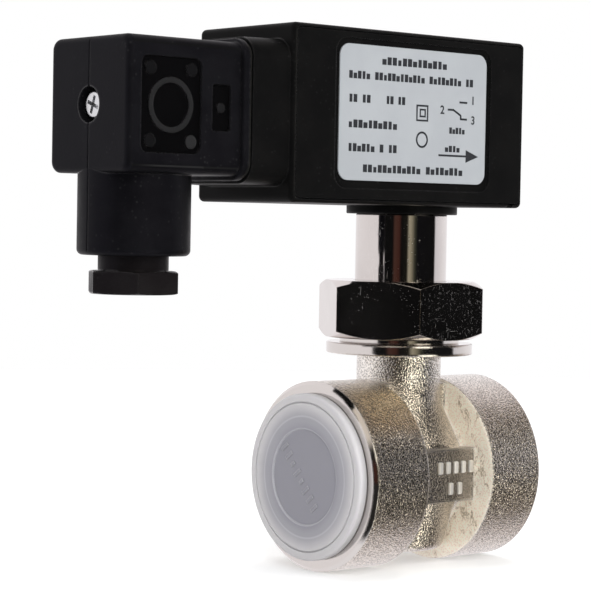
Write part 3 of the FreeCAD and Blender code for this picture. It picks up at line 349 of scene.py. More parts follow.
def makeScratchGroup(settings):
    # fine handling scratches at two angles, broken into short strokes
    group, entry, leave = newGroup("handlingMarks", {"Scale": 300.0, "Amount": 0.5}, ("Mask",))
    point = objectPoint(group)
    strokes = []
    for turn, along in settings["strokes"]:
        drawn = noiseAt(group, stretched(group, point, along, turn), entry["Scale"], *settings["strokeNoise"])
        strokes.append(smoothStep(group, drawn, *settings["strokeLevels"]))
    patches = smoothStep(group, noiseAt(group, point, settings["patchScale"]), *settings["patchLevels"])
    mask = times(group, either(group, *strokes), patches, entry["Amount"])
    feed(group, leave["Mask"], mask)
    return group


edgeGroup = makeEdgeGroup(edgeWear)
grainGroup = makeGrainGroup(mouldGrain)
dustGroup = makeDustGroup(dustSpecks)
blastGroup = makeBlastGroup(beadBlast)
scratchGroup = makeScratchGroup(handlingMarks)


def useGroup(tree, group, **values):
    node = addNode(tree, "ShaderNodeGroup", node_tree=group)
    feedAll(tree, node, **values)
    return node.outputs


def edgesOf(tree, settings, width="edgeWidth"):
    return useGroup(tree, edgeGroup, Width=settings[width], Breakup=settings["edgeBreakup"])


def toneOf(tree, mask, settings):
    return mixColours(tree, mask, settings["colour"], settings["colourAlt"])


def glossOf(tree, mask, settings):
    return mixValues(tree, mask, settings["roughness"], settings["roughnessAlt"])


# Finishes: places are in mm, and edge widths and bump depths in metres
def panelMarks(tree, plain, settings):
    # the plug's side panels: marks that are paler than the panel floor around them
    point = objectPoint(tree)
    x, y, z = splitUp(tree, point)
    floor = settings["panelFloor"]
    inside = beyond(tree, y, (settings["panelFace"] + settings["markTop"]) / 2)
    deep = beyond(tree, y, (settings["markTop"] + floor) / 2)
    shallow = within(tree, y, floor + settings["floorMargin"])
    normalY = splitUp(tree, surfaceNormal(tree))[1]
    panel = times(tree, inside, shallow, mathNode(tree, "LESS_THAN", normalY, settings["panelFacing"]))
    lower = stepAt(tree, mathNode(tree, "SUBTRACT", x, z), settings["markSlant"])
    wide = within(tree, x, settings["slotFrom"])
    lower = times(tree, lower, mixValues(tree, wide, settings["slotShare"], 1.0))
    flat = stretched(tree, point, (1.0, 0.0, 1.0))
    offset = vectorMath(tree, "DISTANCE", flat, Vector(settings["ringCentre"]) * mm)
    onRing = within(tree, offset, settings["ringReach"])
    lit = either(tree, lower, times(tree, onRing, settings["ringShare"]))
    mark = mixColours(tree, lit, settings["markDim"], settings["markColour"])
    marked = mixColours(tree, deep, mark, settings["floorColour"])
    return mixColours(tree, panel, plain, marked)


def plasticFinish(name, settings):
    material, tree, shader = newMaterial(name)
    grain = useGroup(tree, grainGroup, Scale=settings["grainScale"])
    edge = edgesOf(tree, settings)
    dust = useGroup(tree, dustGroup, Amount=settings["dustAmount"], Scale=settings["dustScale"])
    paleEdge = edge["Mask"]
    if "seamClear" in settings:     # the parting line at Y 0 stays dark, without the paler edges of wear and painted edge highlight
        y = splitUp(tree, objectPoint(tree))[1]
        paleEdge = times(tree, paleEdge, stepAt(tree, mathNode(tree, "ABSOLUTE", y), settings["seamClear"]))
    colour = toneOf(tree, grain["Mottle"], settings)
    # paler edges: wear, and on the housing and plug also a painted edge highlight
    colour = mixColours(tree, times(tree, paleEdge, settings["edgeShare"]), colour, settings["edgeColour"])
    dusty = times(tree, dust["Mask"], settings["dustShare"])
    colour = mixColours(tree, dusty, colour, settings["dustColour"])
    if "panelFace" in settings:
        colour = panelMarks(tree, colour, settings)
    gloss = glossOf(tree, grain["Mottle"], settings)
    bump = bumpFrom(tree, grain["Height"], settings["grainDepth"], Normal=edge["Normal"])
    feedAll(tree, shader, Base_Color=colour, Normal=bump,
            Roughness=mixValues(tree, paleEdge, gloss, settings["edgeRoughness"]),
            Specular_IOR_Level=settings["specular"],
            Specular_Tint=settings.get("specularTint", (1.0, 1.0, 1.0)))
    if "edgeCoat" in settings:      # rounded edges are rubbed glossier than the faces
        feedAll(tree, shader, Coat_Weight=times(tree, paleEdge, settings["edgeCoat"]),
                Coat_Roughness=settings["coatRoughness"])
    return material


housingBlack = {
    "colour": (0.0035, 0.0035, 0.0036), "colourAlt": (0.0046, 0.0045, 0.0045),
    # paler edges: wear and a painted edge highlight
    "edgeColour": (0.020, 0.020, 0.021), "edgeShare": 0.35, "edgeWidth": 0.0006, "edgeBreakup": 0.4,
    "edgeCoat": 0.9, "coatRoughness": 0.22, "edgeRoughness": 0.26,
    "roughness": 0.36, "roughnessAlt": 0.46, "specular": 0.050,
    "grainScale": 2600.0, "grainDepth": 0.000012,
    "dustColour": (0.014, 0.014, 0.014), "dustShare": 0.8, "dustAmount": 0.6, "dustScale": 1000.0,
}
plugBlack = {
    "colour": (0.0039, 0.0038, 0.0046), "colourAlt": (0.0053, 0.0052, 0.0061),
    # paler edges: wear and a painted edge highlight
    "edgeColour": (0.022, 0.022, 0.023), "edgeShare": 0.12, "edgeWidth": 0.0007, "edgeBreakup": 0.35,
    "edgeCoat": 1.0, "coatRoughness": 0.22, "edgeRoughness": 0.26,
    "roughness": 0.36, "roughnessAlt": 0.48, "specular": 0.066,
    "specularTint": (0.74, 0.72, 1.0), "seamClear": (0.22, 0.45),
    "grainScale": 2200.0, "grainDepth": 0.000016,
    "dustColour": (0.018, 0.018, 0.018), "dustShare": 0.9, "dustAmount": 0.75, "dustScale": 950.0,
    # depths along Y of the panels and their marks
    "panelFace": -13.3, "markTop": -13.1, "panelFloor": -12.8, "floorMargin": 0.1, "panelFacing": -0.9,
    # the marks are dimmer towards the top, where X less Z is lower, and in the slot beside the panel
    "markColour": (0.017, 0.017, 0.017), "markDim": (0.0045, 0.0045, 0.0046), "markSlant": (-148.0, -141.0),
    "ringCentre": (-74.15, 0.0, 76.5), "ringReach": 6.2, "ringShare": 0.75,
    "slotFrom": -66.0, "slotShare": 0.35, "floorColour": (0.0014, 0.0014, 0.0014),
}
glandBlack = dict(plugBlack, colour=(0.0075, 0.0062, 0.0062), colourAlt=(0.0095, 0.0082, 0.0080),
                  specular=0.07)
insulatorGrey = {
    "colour": (0.060, 0.062, 0.066), "colourAlt": (0.070, 0.072, 0.078),
    "edgeColour": (0.11, 0.11, 0.12), "edgeShare": 0.5, "edgeWidth": 0.0003, "edgeBreakup": 0.4,
    "edgeRoughness": 0.35, "roughness": 0.40, "roughnessAlt": 0.48, "specular": 0.4,
    "grainScale": 2400.0, "grainDepth": 0.000008,
    "dustColour": (0.2, 0.2, 0.2), "dustShare": 0.2, "dustAmount": 0.08, "dustScale": 700.0,
}
caseRed = dict(insulatorGrey, colour=(0.26, 0.035, 0.022), colourAlt=(0.31, 0.045, 0.028),
               edgeColour=(0.40, 0.08, 0.05))
rubberBlack = dict(insulatorGrey, colour=(0.011, 0.011, 0.011), colourAlt=(0.016, 0.016, 0.015),
                   edgeColour=(0.024, 0.024, 0.023), roughness=0.62, roughnessAlt=0.74, specular=0.3)
fibreGreen = dict(insulatorGrey, colour=(0.045, 0.10, 0.065), colourAlt=(0.07, 0.14, 0.09),
                  edgeColour=(0.10, 0.17, 0.12), roughness=0.78, roughnessAlt=0.88, specular=0.2,
                  grainScale=900.0, grainDepth=0.00003)
leadColours = {
    "lead_black": (0.012, 0.012, 0.012), "lead_blue": (0.02, 0.07, 0.38), "lead_brown": (0.13, 0.05, 0.02),
}
leadPaler = 1.3         # where the lead's sleeve is rubbed or mottled


def handlingSpecks(tree, point, settings):
    # fine specks on the union nut's near sides
    x, _, z = splitUp(tree, point)
    dots = noiseAt(tree, point, settings["speckScale"], detail=1.0)
    dots = smoothStep(tree, dots, *settings["speckLevels"])
    handled = times(tree, beyond(tree, x, settings["specksFrom"]), within(tree, z, settings["specksTo"]))
    return times(tree, dots, handled, settings["speckShare"])


def metalFinish(name, settings):
    material, tree, shader = newMaterial(name)
    point = objectPoint(tree)
    cloud = smoothStep(tree, noiseAt(tree, point, settings["cloudScale"], detail=4.0), *cloudLevels)
    edge = edgesOf(tree, settings)
    worn = useGroup(tree, scratchGroup, Scale=settings["markScale"], Amount=settings["markAmount"])["Mask"]
    if "speckScale" in settings:
        worn = either(tree, worn, handlingSpecks(tree, point, settings))
    tinted = toneOf(tree, cloud, settings)
    gloss = glossOf(tree, cloud, settings)
    lines = noiseAt(tree, stretched(tree, point, settings["lineStretch"]), settings["lineScale"], detail=2.0)
    height = mathNode(tree, "MULTIPLY_ADD", worn, -settings["markDepth"], lines)
    feedAll(tree, shader, Base_Color=mixColours(tree, worn, tinted, settings["markColour"]),
            Roughness=mixValues(tree, worn, gloss, settings["markRoughness"]), Metallic=settings["metallic"],
            Normal=bumpFrom(tree, height, settings["lineDepth"], Normal=edge["Normal"]))
    return material


polishedNickel = {
    "colour": (0.66, 0.62, 0.60), "colourAlt": (0.70, 0.66, 0.64), "cloudScale": 90.0, "metallic": 1.0,
    "roughness": 0.05, "roughnessAlt": 0.09, "markColour": (0.80, 0.79, 0.77), "markRoughness": 0.42,
    "markScale": 380.0, "markAmount": 0.8, "markDepth": 0.6, "edgeWidth": 0.00025, "edgeBreakup": 0.3,
    "lineStretch": (1.0, 1.0, 9.0), "lineScale": 500.0, "lineDepth": 0.0000012,
}
# the specks start right of the nut's left side and end at its top
nutNickel = dict(polishedNickel, speckScale=1700.0, speckLevels=(0.58, 0.70), speckShare=0.45,
                 specksFrom=-9.3, specksTo=42.0)
turnedSteel = dict(polishedNickel, colour=(0.56, 0.56, 0.57), colourAlt=(0.62, 0.62, 0.63),
                   roughness=0.24, roughnessAlt=0.32, lineDepth=0.000003, edgeWidth=0.00015)
platedZinc = dict(polishedNickel, colour=(0.72, 0.73, 0.75), colourAlt=(0.80, 0.81, 0.83),
                  roughness=0.26, roughnessAlt=0.38, lineDepth=0.000003, edgeWidth=0.0002,
                  markAmount=0.9)
turnedBrass = dict(polishedNickel, colour=(0.72, 0.52, 0.22), colourAlt=(0.78, 0.58, 0.27),
                   roughness=0.24, roughnessAlt=0.34, lineDepth=0.000003, edgeWidth=0.00015)
tinnedCopper = dict(polishedNickel, colour=(0.70, 0.64, 0.55), colourAlt=(0.76, 0.71, 0.63),
                    roughness=0.28, roughnessAlt=0.40, lineDepth=0.000003, edgeWidth=0.00012)
# the pad's raised bars: rubbed bright nickel, near white and less metallic, which is a painted glint on top
# of the wear
brightNickel = dict(polishedNickel, colour=(0.90, 0.87, 0.83), colourAlt=(0.96, 0.94, 0.91),
                    roughness=0.34, roughnessAlt=0.46, lineDepth=0.00001, metallic=0.75)

castNickel = {
    "colour": (0.74, 0.685, 0.625), "colourAlt": (0.86, 0.805, 0.745),
    # the darker dents are painted shade in the blasted pits
    "dentColour": (0.16, 0.145, 0.13), "dentShare": 0.55,
    "roughness": 0.15, "roughnessAlt": 0.22, "blastScale": 2500.0, "blastDepth": 0.00009,
    # a warm band on top of the inlet side, beside the branch, is a painted reflection, and the paler branch
    # above it a painted highlight
    "bandColour": (1.0, 0.84, 0.62), "bandShare": 0.95,
    "bandLow": (8.5, 13.0), "bandHigh": (20.5, 17.5), "bandOut": (-26.0, -20.0),
    "neckColour": (0.98, 0.95, 0.90), "neckShare": 0.8, "neckFrom": (17.5, 21.5),
    # painted shade: darker metal on the inlet side at mid height, and on the pad's face
    "dullColour": (0.35, 0.325, 0.30), "dullShare": 0.8, "dullHeight": (11.0, 5.0),
    "padColour": (0.42, 0.39, 0.365), "padShare": 1.0, "padReach": 16.2, "padFrom": 13.5,
    # faces inside the gap between the ports, over an uneven casting: a bright warm colour, lower metallic and
    # a faint warm glow are painted light caught in the gap, and the darker creases painted shade
    "innerColour": (1.0, 0.925, 0.80), "innerRoughness": 0.42, "innerMetal": 0.45,
    "innerLight": (0.115, 0.102, 0.082), "innerDents": 0.5,
    "innerFrom": (7.8, 8.8), "innerReach": (11.5, 10.0), "innerRadius": 20.5, "innerTurn": (-0.45, -0.85),
    "creaseColour": (0.50, 0.42, 0.30), "creaseScale": 330.0, "creaseStretch": (1.0, 1.0, 0.5),
    "creaseNoise": (5.0, 0.6), "creaseWidth": 0.030, "foldDepth": 2.0,
    "patchScale": 150.0, "patchLevels": (0.46, 0.60),
    # edges rubbed smooth and paler, partly wear and partly a painted edge highlight, except at the ports'
    # ends, which are turned
    "edgeWidth": 0.0007, "edgeBreakup": 0.2, "rubbedWidth": 0.0012, "rubbedReach": 16.0,
    "rubbedColour": (0.92, 0.89, 0.86), "rubbedRoughness": 0.36, "rubbedShare": 0.7,
    "turnedColour": (0.70, 0.665, 0.64), "turnedRoughness": 0.10,
    "turnedFrom": 26.05,        # up the branch: the ring flange is turned
    "turnedEnd": 0.86,          # the turned chamfer and land at each port
}


def gapMask(tree, x, spread, settings):
    # the faces in the gap that look towards the middle of the tee
    outward = mathNode(tree, "ABSOLUTE", x)
    inward = times(tree, mathNode(tree, "SIGN", x), splitUp(tree, surfaceNormal(tree))[0])
    near = within(tree, spread, settings["innerRadius"])
    return times(tree, smoothStep(tree, inward, *settings["innerTurn"]),
                 stepAt(tree, outward, settings["innerReach"]),
                 stepAt(tree, outward, settings["innerFrom"]), near)


def castTones(tree, tone, point, spread, settings):
    # the casting's colour, with tones that differ by place: a painted reflection, a painted highlight and
    # painted shade
    x, y, z = splitUp(tree, point)
    inlet = within(tree, x, -settings["innerFrom"][0])
    level = stepAt(tree, mathNode(tree, "ABSOLUTE", z), settings["dullHeight"])
    close = within(tree, spread, settings["padReach"])
    front = beyond(tree, mathNode(tree, "ABSOLUTE", y), settings["padFrom"])
    places = {
        # painted reflection: a warm band on top of the inlet side
        "band": times(tree, stepAt(tree, z, settings["bandLow"]), stepAt(tree, z, settings["bandHigh"]),
                      stepAt(tree, x, settings["bandOut"]), inlet),
        # painted highlight: the branch paler towards its top
        "neck": stepAt(tree, z, settings["neckFrom"]),
        # painted shade: the inlet side darker at mid height
        "dull": times(tree, level, inlet),
        # painted shade: the pad's face darker, in place of its dark reflection
        "pad": times(tree, close, front),
    }
    colour = toneOf(tree, tone, settings)
    for place, mask in places.items():
        share = times(tree, mask, settings[place + "Share"])
        colour = mixColours(tree, share, colour, settings[place + "Colour"])
    return colour


def gapCreases(tree, point, settings):
    # creases inside the gap, in patches, and the folds that they follow
    drawn = stretched(tree, point, settings["creaseStretch"])
    folds = noiseAt(tree, drawn, settings["creaseScale"], *settings["creaseNoise"])
    ridge = mathNode(tree, "ABSOLUTE", mathNode(tree, "SUBTRACT", folds, 0.5))
    patches = noiseAt(tree, point, settings["patchScale"], detail=2.0)
    patches = smoothStep(tree, patches, *settings["patchLevels"])
    return times(tree, smoothStep(tree, ridge, settings["creaseWidth"], 0.0), patches), folds


def castFinish(name, settings):
    material, tree, shader = newMaterial(name)
    point = objectPoint(tree)
    x, _, z = splitUp(tree, point)
    outward = mathNode(tree, "ABSOLUTE", x)
    spread = fromPipeAxis(tree, point)
    blast = useGroup(tree, blastGroup, Scale=settings["blastScale"])
    edge = edgesOf(tree, settings)
    wide = edgesOf(tree, settings, "rubbedWidth")
    tone = smoothStep(tree, blast["Tone"], *cloudLevels)
    inner = gapMask(tree, x, spread, settings)
    crease, folds = gapCreases(tree, point, settings)
    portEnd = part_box("tee_body")[1].x / mm - settings["turnedEnd"]
    turned = either(tree, beyond(tree, outward, portEnd), beyond(tree, z, settings["turnedFrom"]))
    reached = within(tree, outward, settings["rubbedReach"])
    # paler, smoother edges: partly wear, partly a painted edge highlight
    paleEdge = times(tree, wide["Mask"], settings["rubbedShare"], reached, restOf(tree, turned))
    fewer = mixValues(tree, inner, 1.0, settings["innerDents"])
    # dentColour darkens the deep dents: painted shade
    dent = times(tree, blast["Deep"], settings["dentShare"], fewer)

    # creaseColour darkens the creases in the gap: painted shade
    creased = mixColours(tree, crease, settings["innerColour"], settings["creaseColour"])
    # innerColour on the gap faces: painted light caught in the gap
    colour = mixColours(tree, inner, castTones(tree, tone, point, spread, settings), creased)
    for mask, key in ((dent, "dentColour"), (paleEdge, "rubbedColour"), (turned, "turnedColour")):
        colour = mixColours(tree, mask, colour, settings[key])
    gloss = glossOf(tree, tone, settings)
    for mask, key in ((inner, "innerRoughness"), (paleEdge, "rubbedRoughness"), (turned, "turnedRoughness")):
        gloss = mixValues(tree, mask, gloss, settings[key])
    # painted light: a faint warm glow and a lower metallic on the gap faces
    glow = times(tree, inner, restOf(tree, crease))
    rough = mathNode(tree, "MULTIPLY_ADD", times(tree, inner, folds), settings["foldDepth"], blast["Height"])
    height = times(tree, rough, restOf(tree, either(tree, turned, paleEdge)))
    feedAll(tree, shader, Base_Color=colour, Roughness=gloss,
            Metallic=mixValues(tree, inner, 1.0, settings["innerMetal"]), Emission_Strength=1.0,
            Emission_Color=mixColours(tree, glow, (0.0, 0.0, 0.0), settings["innerLight"]),
            Normal=bumpFrom(tree, height, settings["blastDepth"], Normal=edge["Normal"]))
    return material


milkyCap = {
    "centre": (0.292, 0.288, 0.324), "middle": (0.366, 0.360, 0.393), "rim": (0.600, 0.585, 0.595),
    "centreRadius": 9.6, "middleRadius": 12.2, "rimRadius": 16.2,
    "cloudScale": 60.0, "cloudReach": 2.0,          # how far the tones wander
    # fine moulding lines: their radii, and where one fades out and is full, away from its middle
    "lineRadii": (10.3, 13.0), "lineFade": (0.288, 0.072), "lineShare": 0.20, "lineColour": (0.8, 0.8, 0.83),
    "edgeWidth": 0.0004, "edgeBreakup": 0.2, "edgeShare": 0.5, "edgeColour": (0.72, 0.72, 0.75),
    "grainScale": 1800.0, "grainWave": 90.0, "grainDepth": 0.00001, "roughness": 0.34, "specular": 0.3,
    "scatter": 0.5, "scatterRadius": (0.9, 0.9, 1.0), "scatterScale": 0.0016,
}


def milkyFinish(name, settings):
    material, tree, shader = newMaterial(name)
    point = objectPoint(tree)
    grain = useGroup(tree, grainGroup, Scale=settings["grainScale"], Wave=settings["grainWave"])
    edge = edgesOf(tree, settings)
    radius = fromPipeAxis(tree, point)
    reach = settings["cloudReach"] * mm
    cloud = noiseAt(tree, point, settings["cloudScale"], detail=4.0)
    wavy = mathNode(tree, "MULTIPLY_ADD", cloud, reach, mathNode(tree, "SUBTRACT", radius, reach / 2))
    outer = stepAt(tree, wavy, (settings["centreRadius"], settings["middleRadius"]))
    atRim = stepAt(tree, wavy, (settings["middleRadius"], settings["rimRadius"]))
    colour = mixColours(tree, outer, settings["centre"], settings["middle"])
    colour = mixColours(tree, atRim, colour, settings["rim"])
    for lineRadius in settings["lineRadii"]:
        away = mathNode(tree, "ABSOLUTE", mathNode(tree, "SUBTRACT", radius, lineRadius * mm))
        line = times(tree, stepAt(tree, away, settings["lineFade"]), settings["lineShare"])
        colour = mixColours(tree, line, colour, settings["lineColour"])
    paleEdge = times(tree, edge["Mask"], settings["edgeShare"])
    colour = mixColours(tree, paleEdge, colour, settings["edgeColour"])
    feedAll(tree, shader, Base_Color=colour, Roughness=settings["roughness"],
            Specular_IOR_Level=settings["specular"], Subsurface_Weight=settings["scatter"],
            Subsurface_Radius=settings["scatterRadius"], Subsurface_Scale=settings["scatterScale"],
            Normal=bumpFrom(tree, grain["Height"], settings["grainDepth"], Normal=edge["Normal"]))
    return material


labelFilm = {
    "colour": (0.315, 0.331, 0.349), "colourAlt": (0.336, 0.353, 0.370), "cloudScale": 70.0,
    "roughness": 0.36, "fibreScale": 3000.0, "fibreDepth": 0.000004,
}
blackInk = {
    "colour": (0.010, 0.011, 0.014), "colourAlt": (0.022, 0.024, 0.030), "coverScale": 4000.0,
    "coverLevels": (0.3, 0.7), "roughness": 0.42, "roughnessAlt": 0.55,
}


def labelFinish(name, settings):
    material, tree, shader = newMaterial(name)
    point = objectPoint(tree)
    cloud = smoothStep(tree, noiseAt(tree, point, settings["cloudScale"]), *cloudLevels)
    fibre = noiseAt(tree, point, settings["fibreScale"], detail=2.0)
    feedAll(tree, shader, Base_Color=toneOf(tree, cloud, settings),
            Roughness=settings["roughness"], Normal=bumpFrom(tree, fibre, settings["fibreDepth"]))
    return material


def inkFinish(name, settings):
    material, tree, shader = newMaterial(name)
    speckle = noiseAt(tree, objectPoint(tree), settings["coverScale"], detail=2.0)
    cover = smoothStep(tree, speckle, *settings["coverLevels"])
    feedAll(tree, shader, Base_Color=toneOf(tree, cover, settings),
            Roughness=glossOf(tree, cover, settings))
    return material


finishes = {
    "black_housing": plasticFinish("blackHousing", housingBlack),
    "black_plug": plasticFinish("blackPlug", plugBlack),
    "grey_insulator": plasticFinish("greyInsulator", insulatorGrey),
    "switch_red": plasticFinish("redCase", caseRed),
    "rubber": plasticFinish("blackRubber", rubberBlack),
    "fibre_gasket": plasticFinish("greenFibre", fibreGreen),
    "nickel_cast": castFinish("blastedNickel", castNickel),
    "nickel_polished": metalFinish("polishedNickel", nutNickel),
    "steel": metalFinish("turnedSteel", turnedSteel),
    "zinc": metalFinish("brightZinc", platedZinc),
    "brass": metalFinish("turnedBrass", turnedBrass),
    "silvered_copper": metalFinish("tinnedCopper", tinnedCopper),
    "milky_plastic": milkyFinish("milkyCap", milkyCap),
    "label": labelFinish("labelFilm", labelFilm),
}
for slotName, colour in leadColours.items():
    paler = tuple(c * leadPaler for c in colour)
    finishes[slotName] = plasticFinish(slotName.replace("_", ""), dict(
        insulatorGrey, colour=colour, colourAlt=paler, edgeColour=paler, roughness=0.45, roughnessAlt=0.55))
labelInk = inkFinish("labelInk", blackInk)
# the pad bars' finish: rubbed bright nickel with a painted glint
rubbedNickel = metalFinish("rubbedNickel", brightNickel)
ownFinishes = {"gland_nut": plasticFinish("glandBlack", glandBlack)}

slotNames = {subpart["node"]: subpart["material_slot"] for subpart in frame["record"]["subparts"]}
for partName, slotName in slotNames.items():
    part = nodes[partName]
    part.data.materials.clear()
    part.data.materials.append(ownFinishes.get(partName, finishes[slotName]))
print("finishes:", len(finishes), "on", len(nodes), "parts")


# New pieces: print on the label, moulded marks, pipe threads, and copies of the pieces that bend
def deselect():
    bpy.ops.object.select_all(action="DESELECT")


def editAll():
    bpy.ops.object.mode_set(mode="EDIT")
    bpy.ops.mesh.select_all(action="SELECT")


def faceOutwards():
    bpy.ops.mesh.select_all(action="SELECT")
    bpy.ops.mesh.normals_make_consistent(inside=False)


def endEdit(name):
    bpy.ops.object.mode_set(mode="OBJECT")
    piece = bpy.context.object
    piece.name = name
    piece.data.name = name
    return piece


def roundedBar(name, size, rounding):
    # a small raised bar with soft edges
    deselect()
    bpy.ops.mesh.primitive_cube_add(size=1)
    editAll()
    bpy.ops.transform.resize(value=[s * mm for s in size])
    bpy.ops.mesh.bevel(offset=rounding * mm, segments=2, affect="EDGES")
    return endEdit(name)


def copyTo(source, place):
    twin = source.copy()
    twin.data = source.data.copy()
    twin.data.transform(place)
    scene.collection.objects.link(twin)
    return twin


def joinPieces(name, pieces, material, body):
    deselect()
    for piece in pieces:
        piece.select_set(True)
    bpy.context.view_layer.objects.active = pieces[0]
    bpy.ops.object.join()
    joined = bpy.context.object
    joined.name = name
    joined.data.name = name
    joined.data.materials.clear()
    joined.data.materials.append(material)
    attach(joined, body)
    return joined


def moved(x, y, z):
    return Matrix.Translation(Vector((x, y, z)) * mm)


labelPrint = {
    "raise": 0.03, "stroke": 0.42, "numberOffset": 0.045,       # mm
    # rows of plain blocks: left, right, middle height, block height, how many in each group
    "rows": [
        (-20.9, -1.8, 88.3, 1.65, (13,)), (-30.1, 6.2, 85.0, 1.60, (5, 12, 8, 2)),
        (-30.0, -23.8, 80.15, 1.65, (2, 2)), (-19.5, -13.9, 80.2, 1.65, (2, 2)),
        (-30.1, -16.1, 74.9, 1.65, (10,)), (-30.0, -16.1, 70.0, 1.65, (6, 1, 2)),
        (-25.8, 3.5, 65.75, 1.60, (12, 8)), (-0.9, 3.9, 74.6, 1.35, (5,)), (-2.1, 2.5, 70.65, 1.35, (4,)),
    ],
    "blockWidth": 0.80, "narrowWidth": 0.62, "lowHeight": 0.72,      # shares of a block's pitch and height
    "numbers": {"1": (6.2, 80.45), "2": (-3.0, 78.1), "3": (6.3, 76.2)},
    "numberSize": 2.5,
    # the change-over contact and the flow arrow, drawn in strokes
    "strokes": [
        ((2.1, 80.75), (4.45, 80.75)), ((-1.4, 79.05), (0.3, 79.05)), ((0.2, 79.1), (2.6, 77.9)),
        ((2.55, 77.95), (2.55, 77.05)), ((2.4, 77.15), (4.45, 77.15)), ((-3.9, 69.2), (4.4, 69.2)),
    ],
    "arrow": (4.3, 8.1, 69.2, 1.35),         # left, tip, middle height, half its height
    "squares": [((-8.93, 77.93), 3.50, 0.38), ((-8.82, 77.95), 1.80, 0.36)],     # centre, side, band
    "ring": ((-8.9, 72.3), 1.75, 0.42), "ringSides": 40,      # centre, radius, band
}


def printFrame(name, sides, radius, turn, band, depth):
    # a flat outline: a filled shape, inset, its middle taken out and the rest raised
    deselect()
    bpy.ops.mesh.primitive_circle_add(vertices=sides, radius=radius * mm, fill_type="NGON")
    editAll()
    bpy.ops.transform.rotate(value=turn, orient_axis="Z", center_override=(0, 0, 0))
    if band:
        bpy.ops.mesh.inset(thickness=band * mm)
        bpy.ops.mesh.delete(type="FACE")
        bpy.ops.mesh.select_all(action="SELECT")
    bpy.ops.mesh.extrude_region_move(TRANSFORM_OT_translate={"value": (0, 0, depth * mm)})
    faceOutwards()
    return endEdit(name)


def printRows(block, middle, settings):
    # blocks of uneven width and height, with a gap between groups
    parts = []
    for left, right, height, tall, groups in settings["rows"]:
        pitch = (right - left) / (sum(groups) + len(groups) - 1)
        x = left
        for count in groups:
            for i in range(count):
                low = (i * 5 + count) % 3 == 1 and count > 3
                narrow = (i * 3 + count) % 4 == 2
                size = tall * (settings["lowHeight"] if low else 1.0)
                wide = pitch * settings["narrowWidth" if narrow else "blockWidth"]
                foot = height - tall / 2 + size / 2
                scale = Matrix.Diagonal((wide, 1.0, size, 1.0))
                parts.append(copyTo(block, moved(x + pitch / 2, middle, foot) @ scale))
                x += pitch
            x += pitch
    return parts


def printStrokes(block, middle, settings):
    parts = []
    for (x0, z0), (x1, z1) in settings["strokes"]:
        scale = Matrix.Diagonal((math.dist((x0, z0), (x1, z1)), 1.0, settings["stroke"], 1.0))
        turn = Matrix.Rotation(-math.atan2(z1 - z0, x1 - x0), 4, "Y")
        parts.append(copyTo(block, moved((x0 + x1) / 2, middle, (z0 + z1) / 2) @ turn @ scale))
    return parts


def printArrow(settings):
    # a flat triangle with its back at X 0, stretched to its length and height
    left, tip, _, half = settings["arrow"]
    arrow = printFrame("printArrow", 3, 1.0, math.pi / 2, 0, settings["raise"])
    low = min(vertex.co.x for vertex in arrow.data.vertices)
    high = max(vertex.co.x for vertex in arrow.data.vertices)
    wide = max(vertex.co.y for vertex in arrow.data.vertices)
    scale = Matrix.Diagonal(((tip - left) / (high - low) * mm, half / wide * mm, 1.0, 1.0))
    arrow.data.transform(scale @ Matrix.Translation((-low, 0, 0)))
    return arrow


def printNumber(number, settings):
    deselect()
    bpy.ops.object.text_add()
    text = bpy.context.object
    text.data.body = number
    text.data.size = settings["numberSize"] * mm
    text.data.align_x = "CENTER"
    text.data.offset = settings["numberOffset"] * mm
    text.data.extrude = settings["raise"] / 2 * mm
    bpy.ops.object.convert(target="MESH")
    return bpy.context.object


def addLabelPrint(settings):
    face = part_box("rating_label")[0].y / mm
    thick = settings["raise"]
    middle = face - thick / 2
    block = roundedBar("printBlock", (1.0, thick, 1.0), 0.0)
    parts = printRows(block, middle, settings) + printStrokes(block, middle, settings)
    bpy.data.objects.remove(block)
    flat = []           # piece, X, Y and Z of its place on the label
    for (x, z), side, band in settings["squares"]:
        square = printFrame("printSquare", 4, side / math.sqrt(2), math.pi / 4, band, thick)
        flat.append((square, x, face, z))
    (x, z), radius, band = settings["ring"]
    flat.append((printFrame("printRing", settings["ringSides"], radius, 0.0, band, thick), x, face, z))
    flat.append((printArrow(settings), settings["arrow"][0], face, settings["arrow"][2]))
    for number, (x, z) in settings["numbers"].items():
        flat.append((printNumber(number, settings), x, middle, z))
    upright = Matrix.Rotation(math.pi / 2, 4, "X")      # lays flat print on the -Y face
    for piece, x, y, z in flat:
        piece.data.transform(moved(x, y, z) @ upright)
        parts.append(piece)
    return joinPieces("labelPrint", parts, labelInk, "head")


capPips = {
    "count": 8, "start": (6.6, 6.0), "end": (-3.2, -6.3), "size": (0.36, 0.85, 2.5), "rounding": 0.12,
    "sink": 0.33, "shortOnes": (2, 4), "shortShare": 0.55,
}


def addCapPips(settings):
    # a slanting row of plain raised pips on the cap's middle
    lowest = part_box("inlet_cap")[0].x / mm
    pip = roundedBar("capPip", settings["size"], settings["rounding"])
    y0, z0 = settings["start"]
    y1, z1 = settings["end"]
    lean = math.atan2(y1 - y0, z1 - z0) + math.pi / 2
    parts = []
    for i in range(settings["count"]):
        t = i / (settings["count"] - 1)
        share = settings["shortShare"] if i in settings["shortOnes"] else 1.0
        short = Matrix.Diagonal((1.0, 1.0, share, 1.0))
        place = moved(lowest + settings["sink"], y0 + (y1 - y0) * t, z0 + (z1 - z0) * t)
        parts.append(copyTo(pip, place @ Matrix.Rotation(-lean, 4, "X") @ short))
    bpy.data.objects.remove(pip)
    return joinPieces("capPips", parts, finishes["milky_plastic"], "inlet_cap")


padMarks = {"face": -14.8, "size": (1.30, 0.8, 2.7), "rounding": 0.34,
            "rows": [(5, -0.9, 8.3, 1.7), (2, 2.3, 5.0, -2.9)]}      # count, first x, last x, height


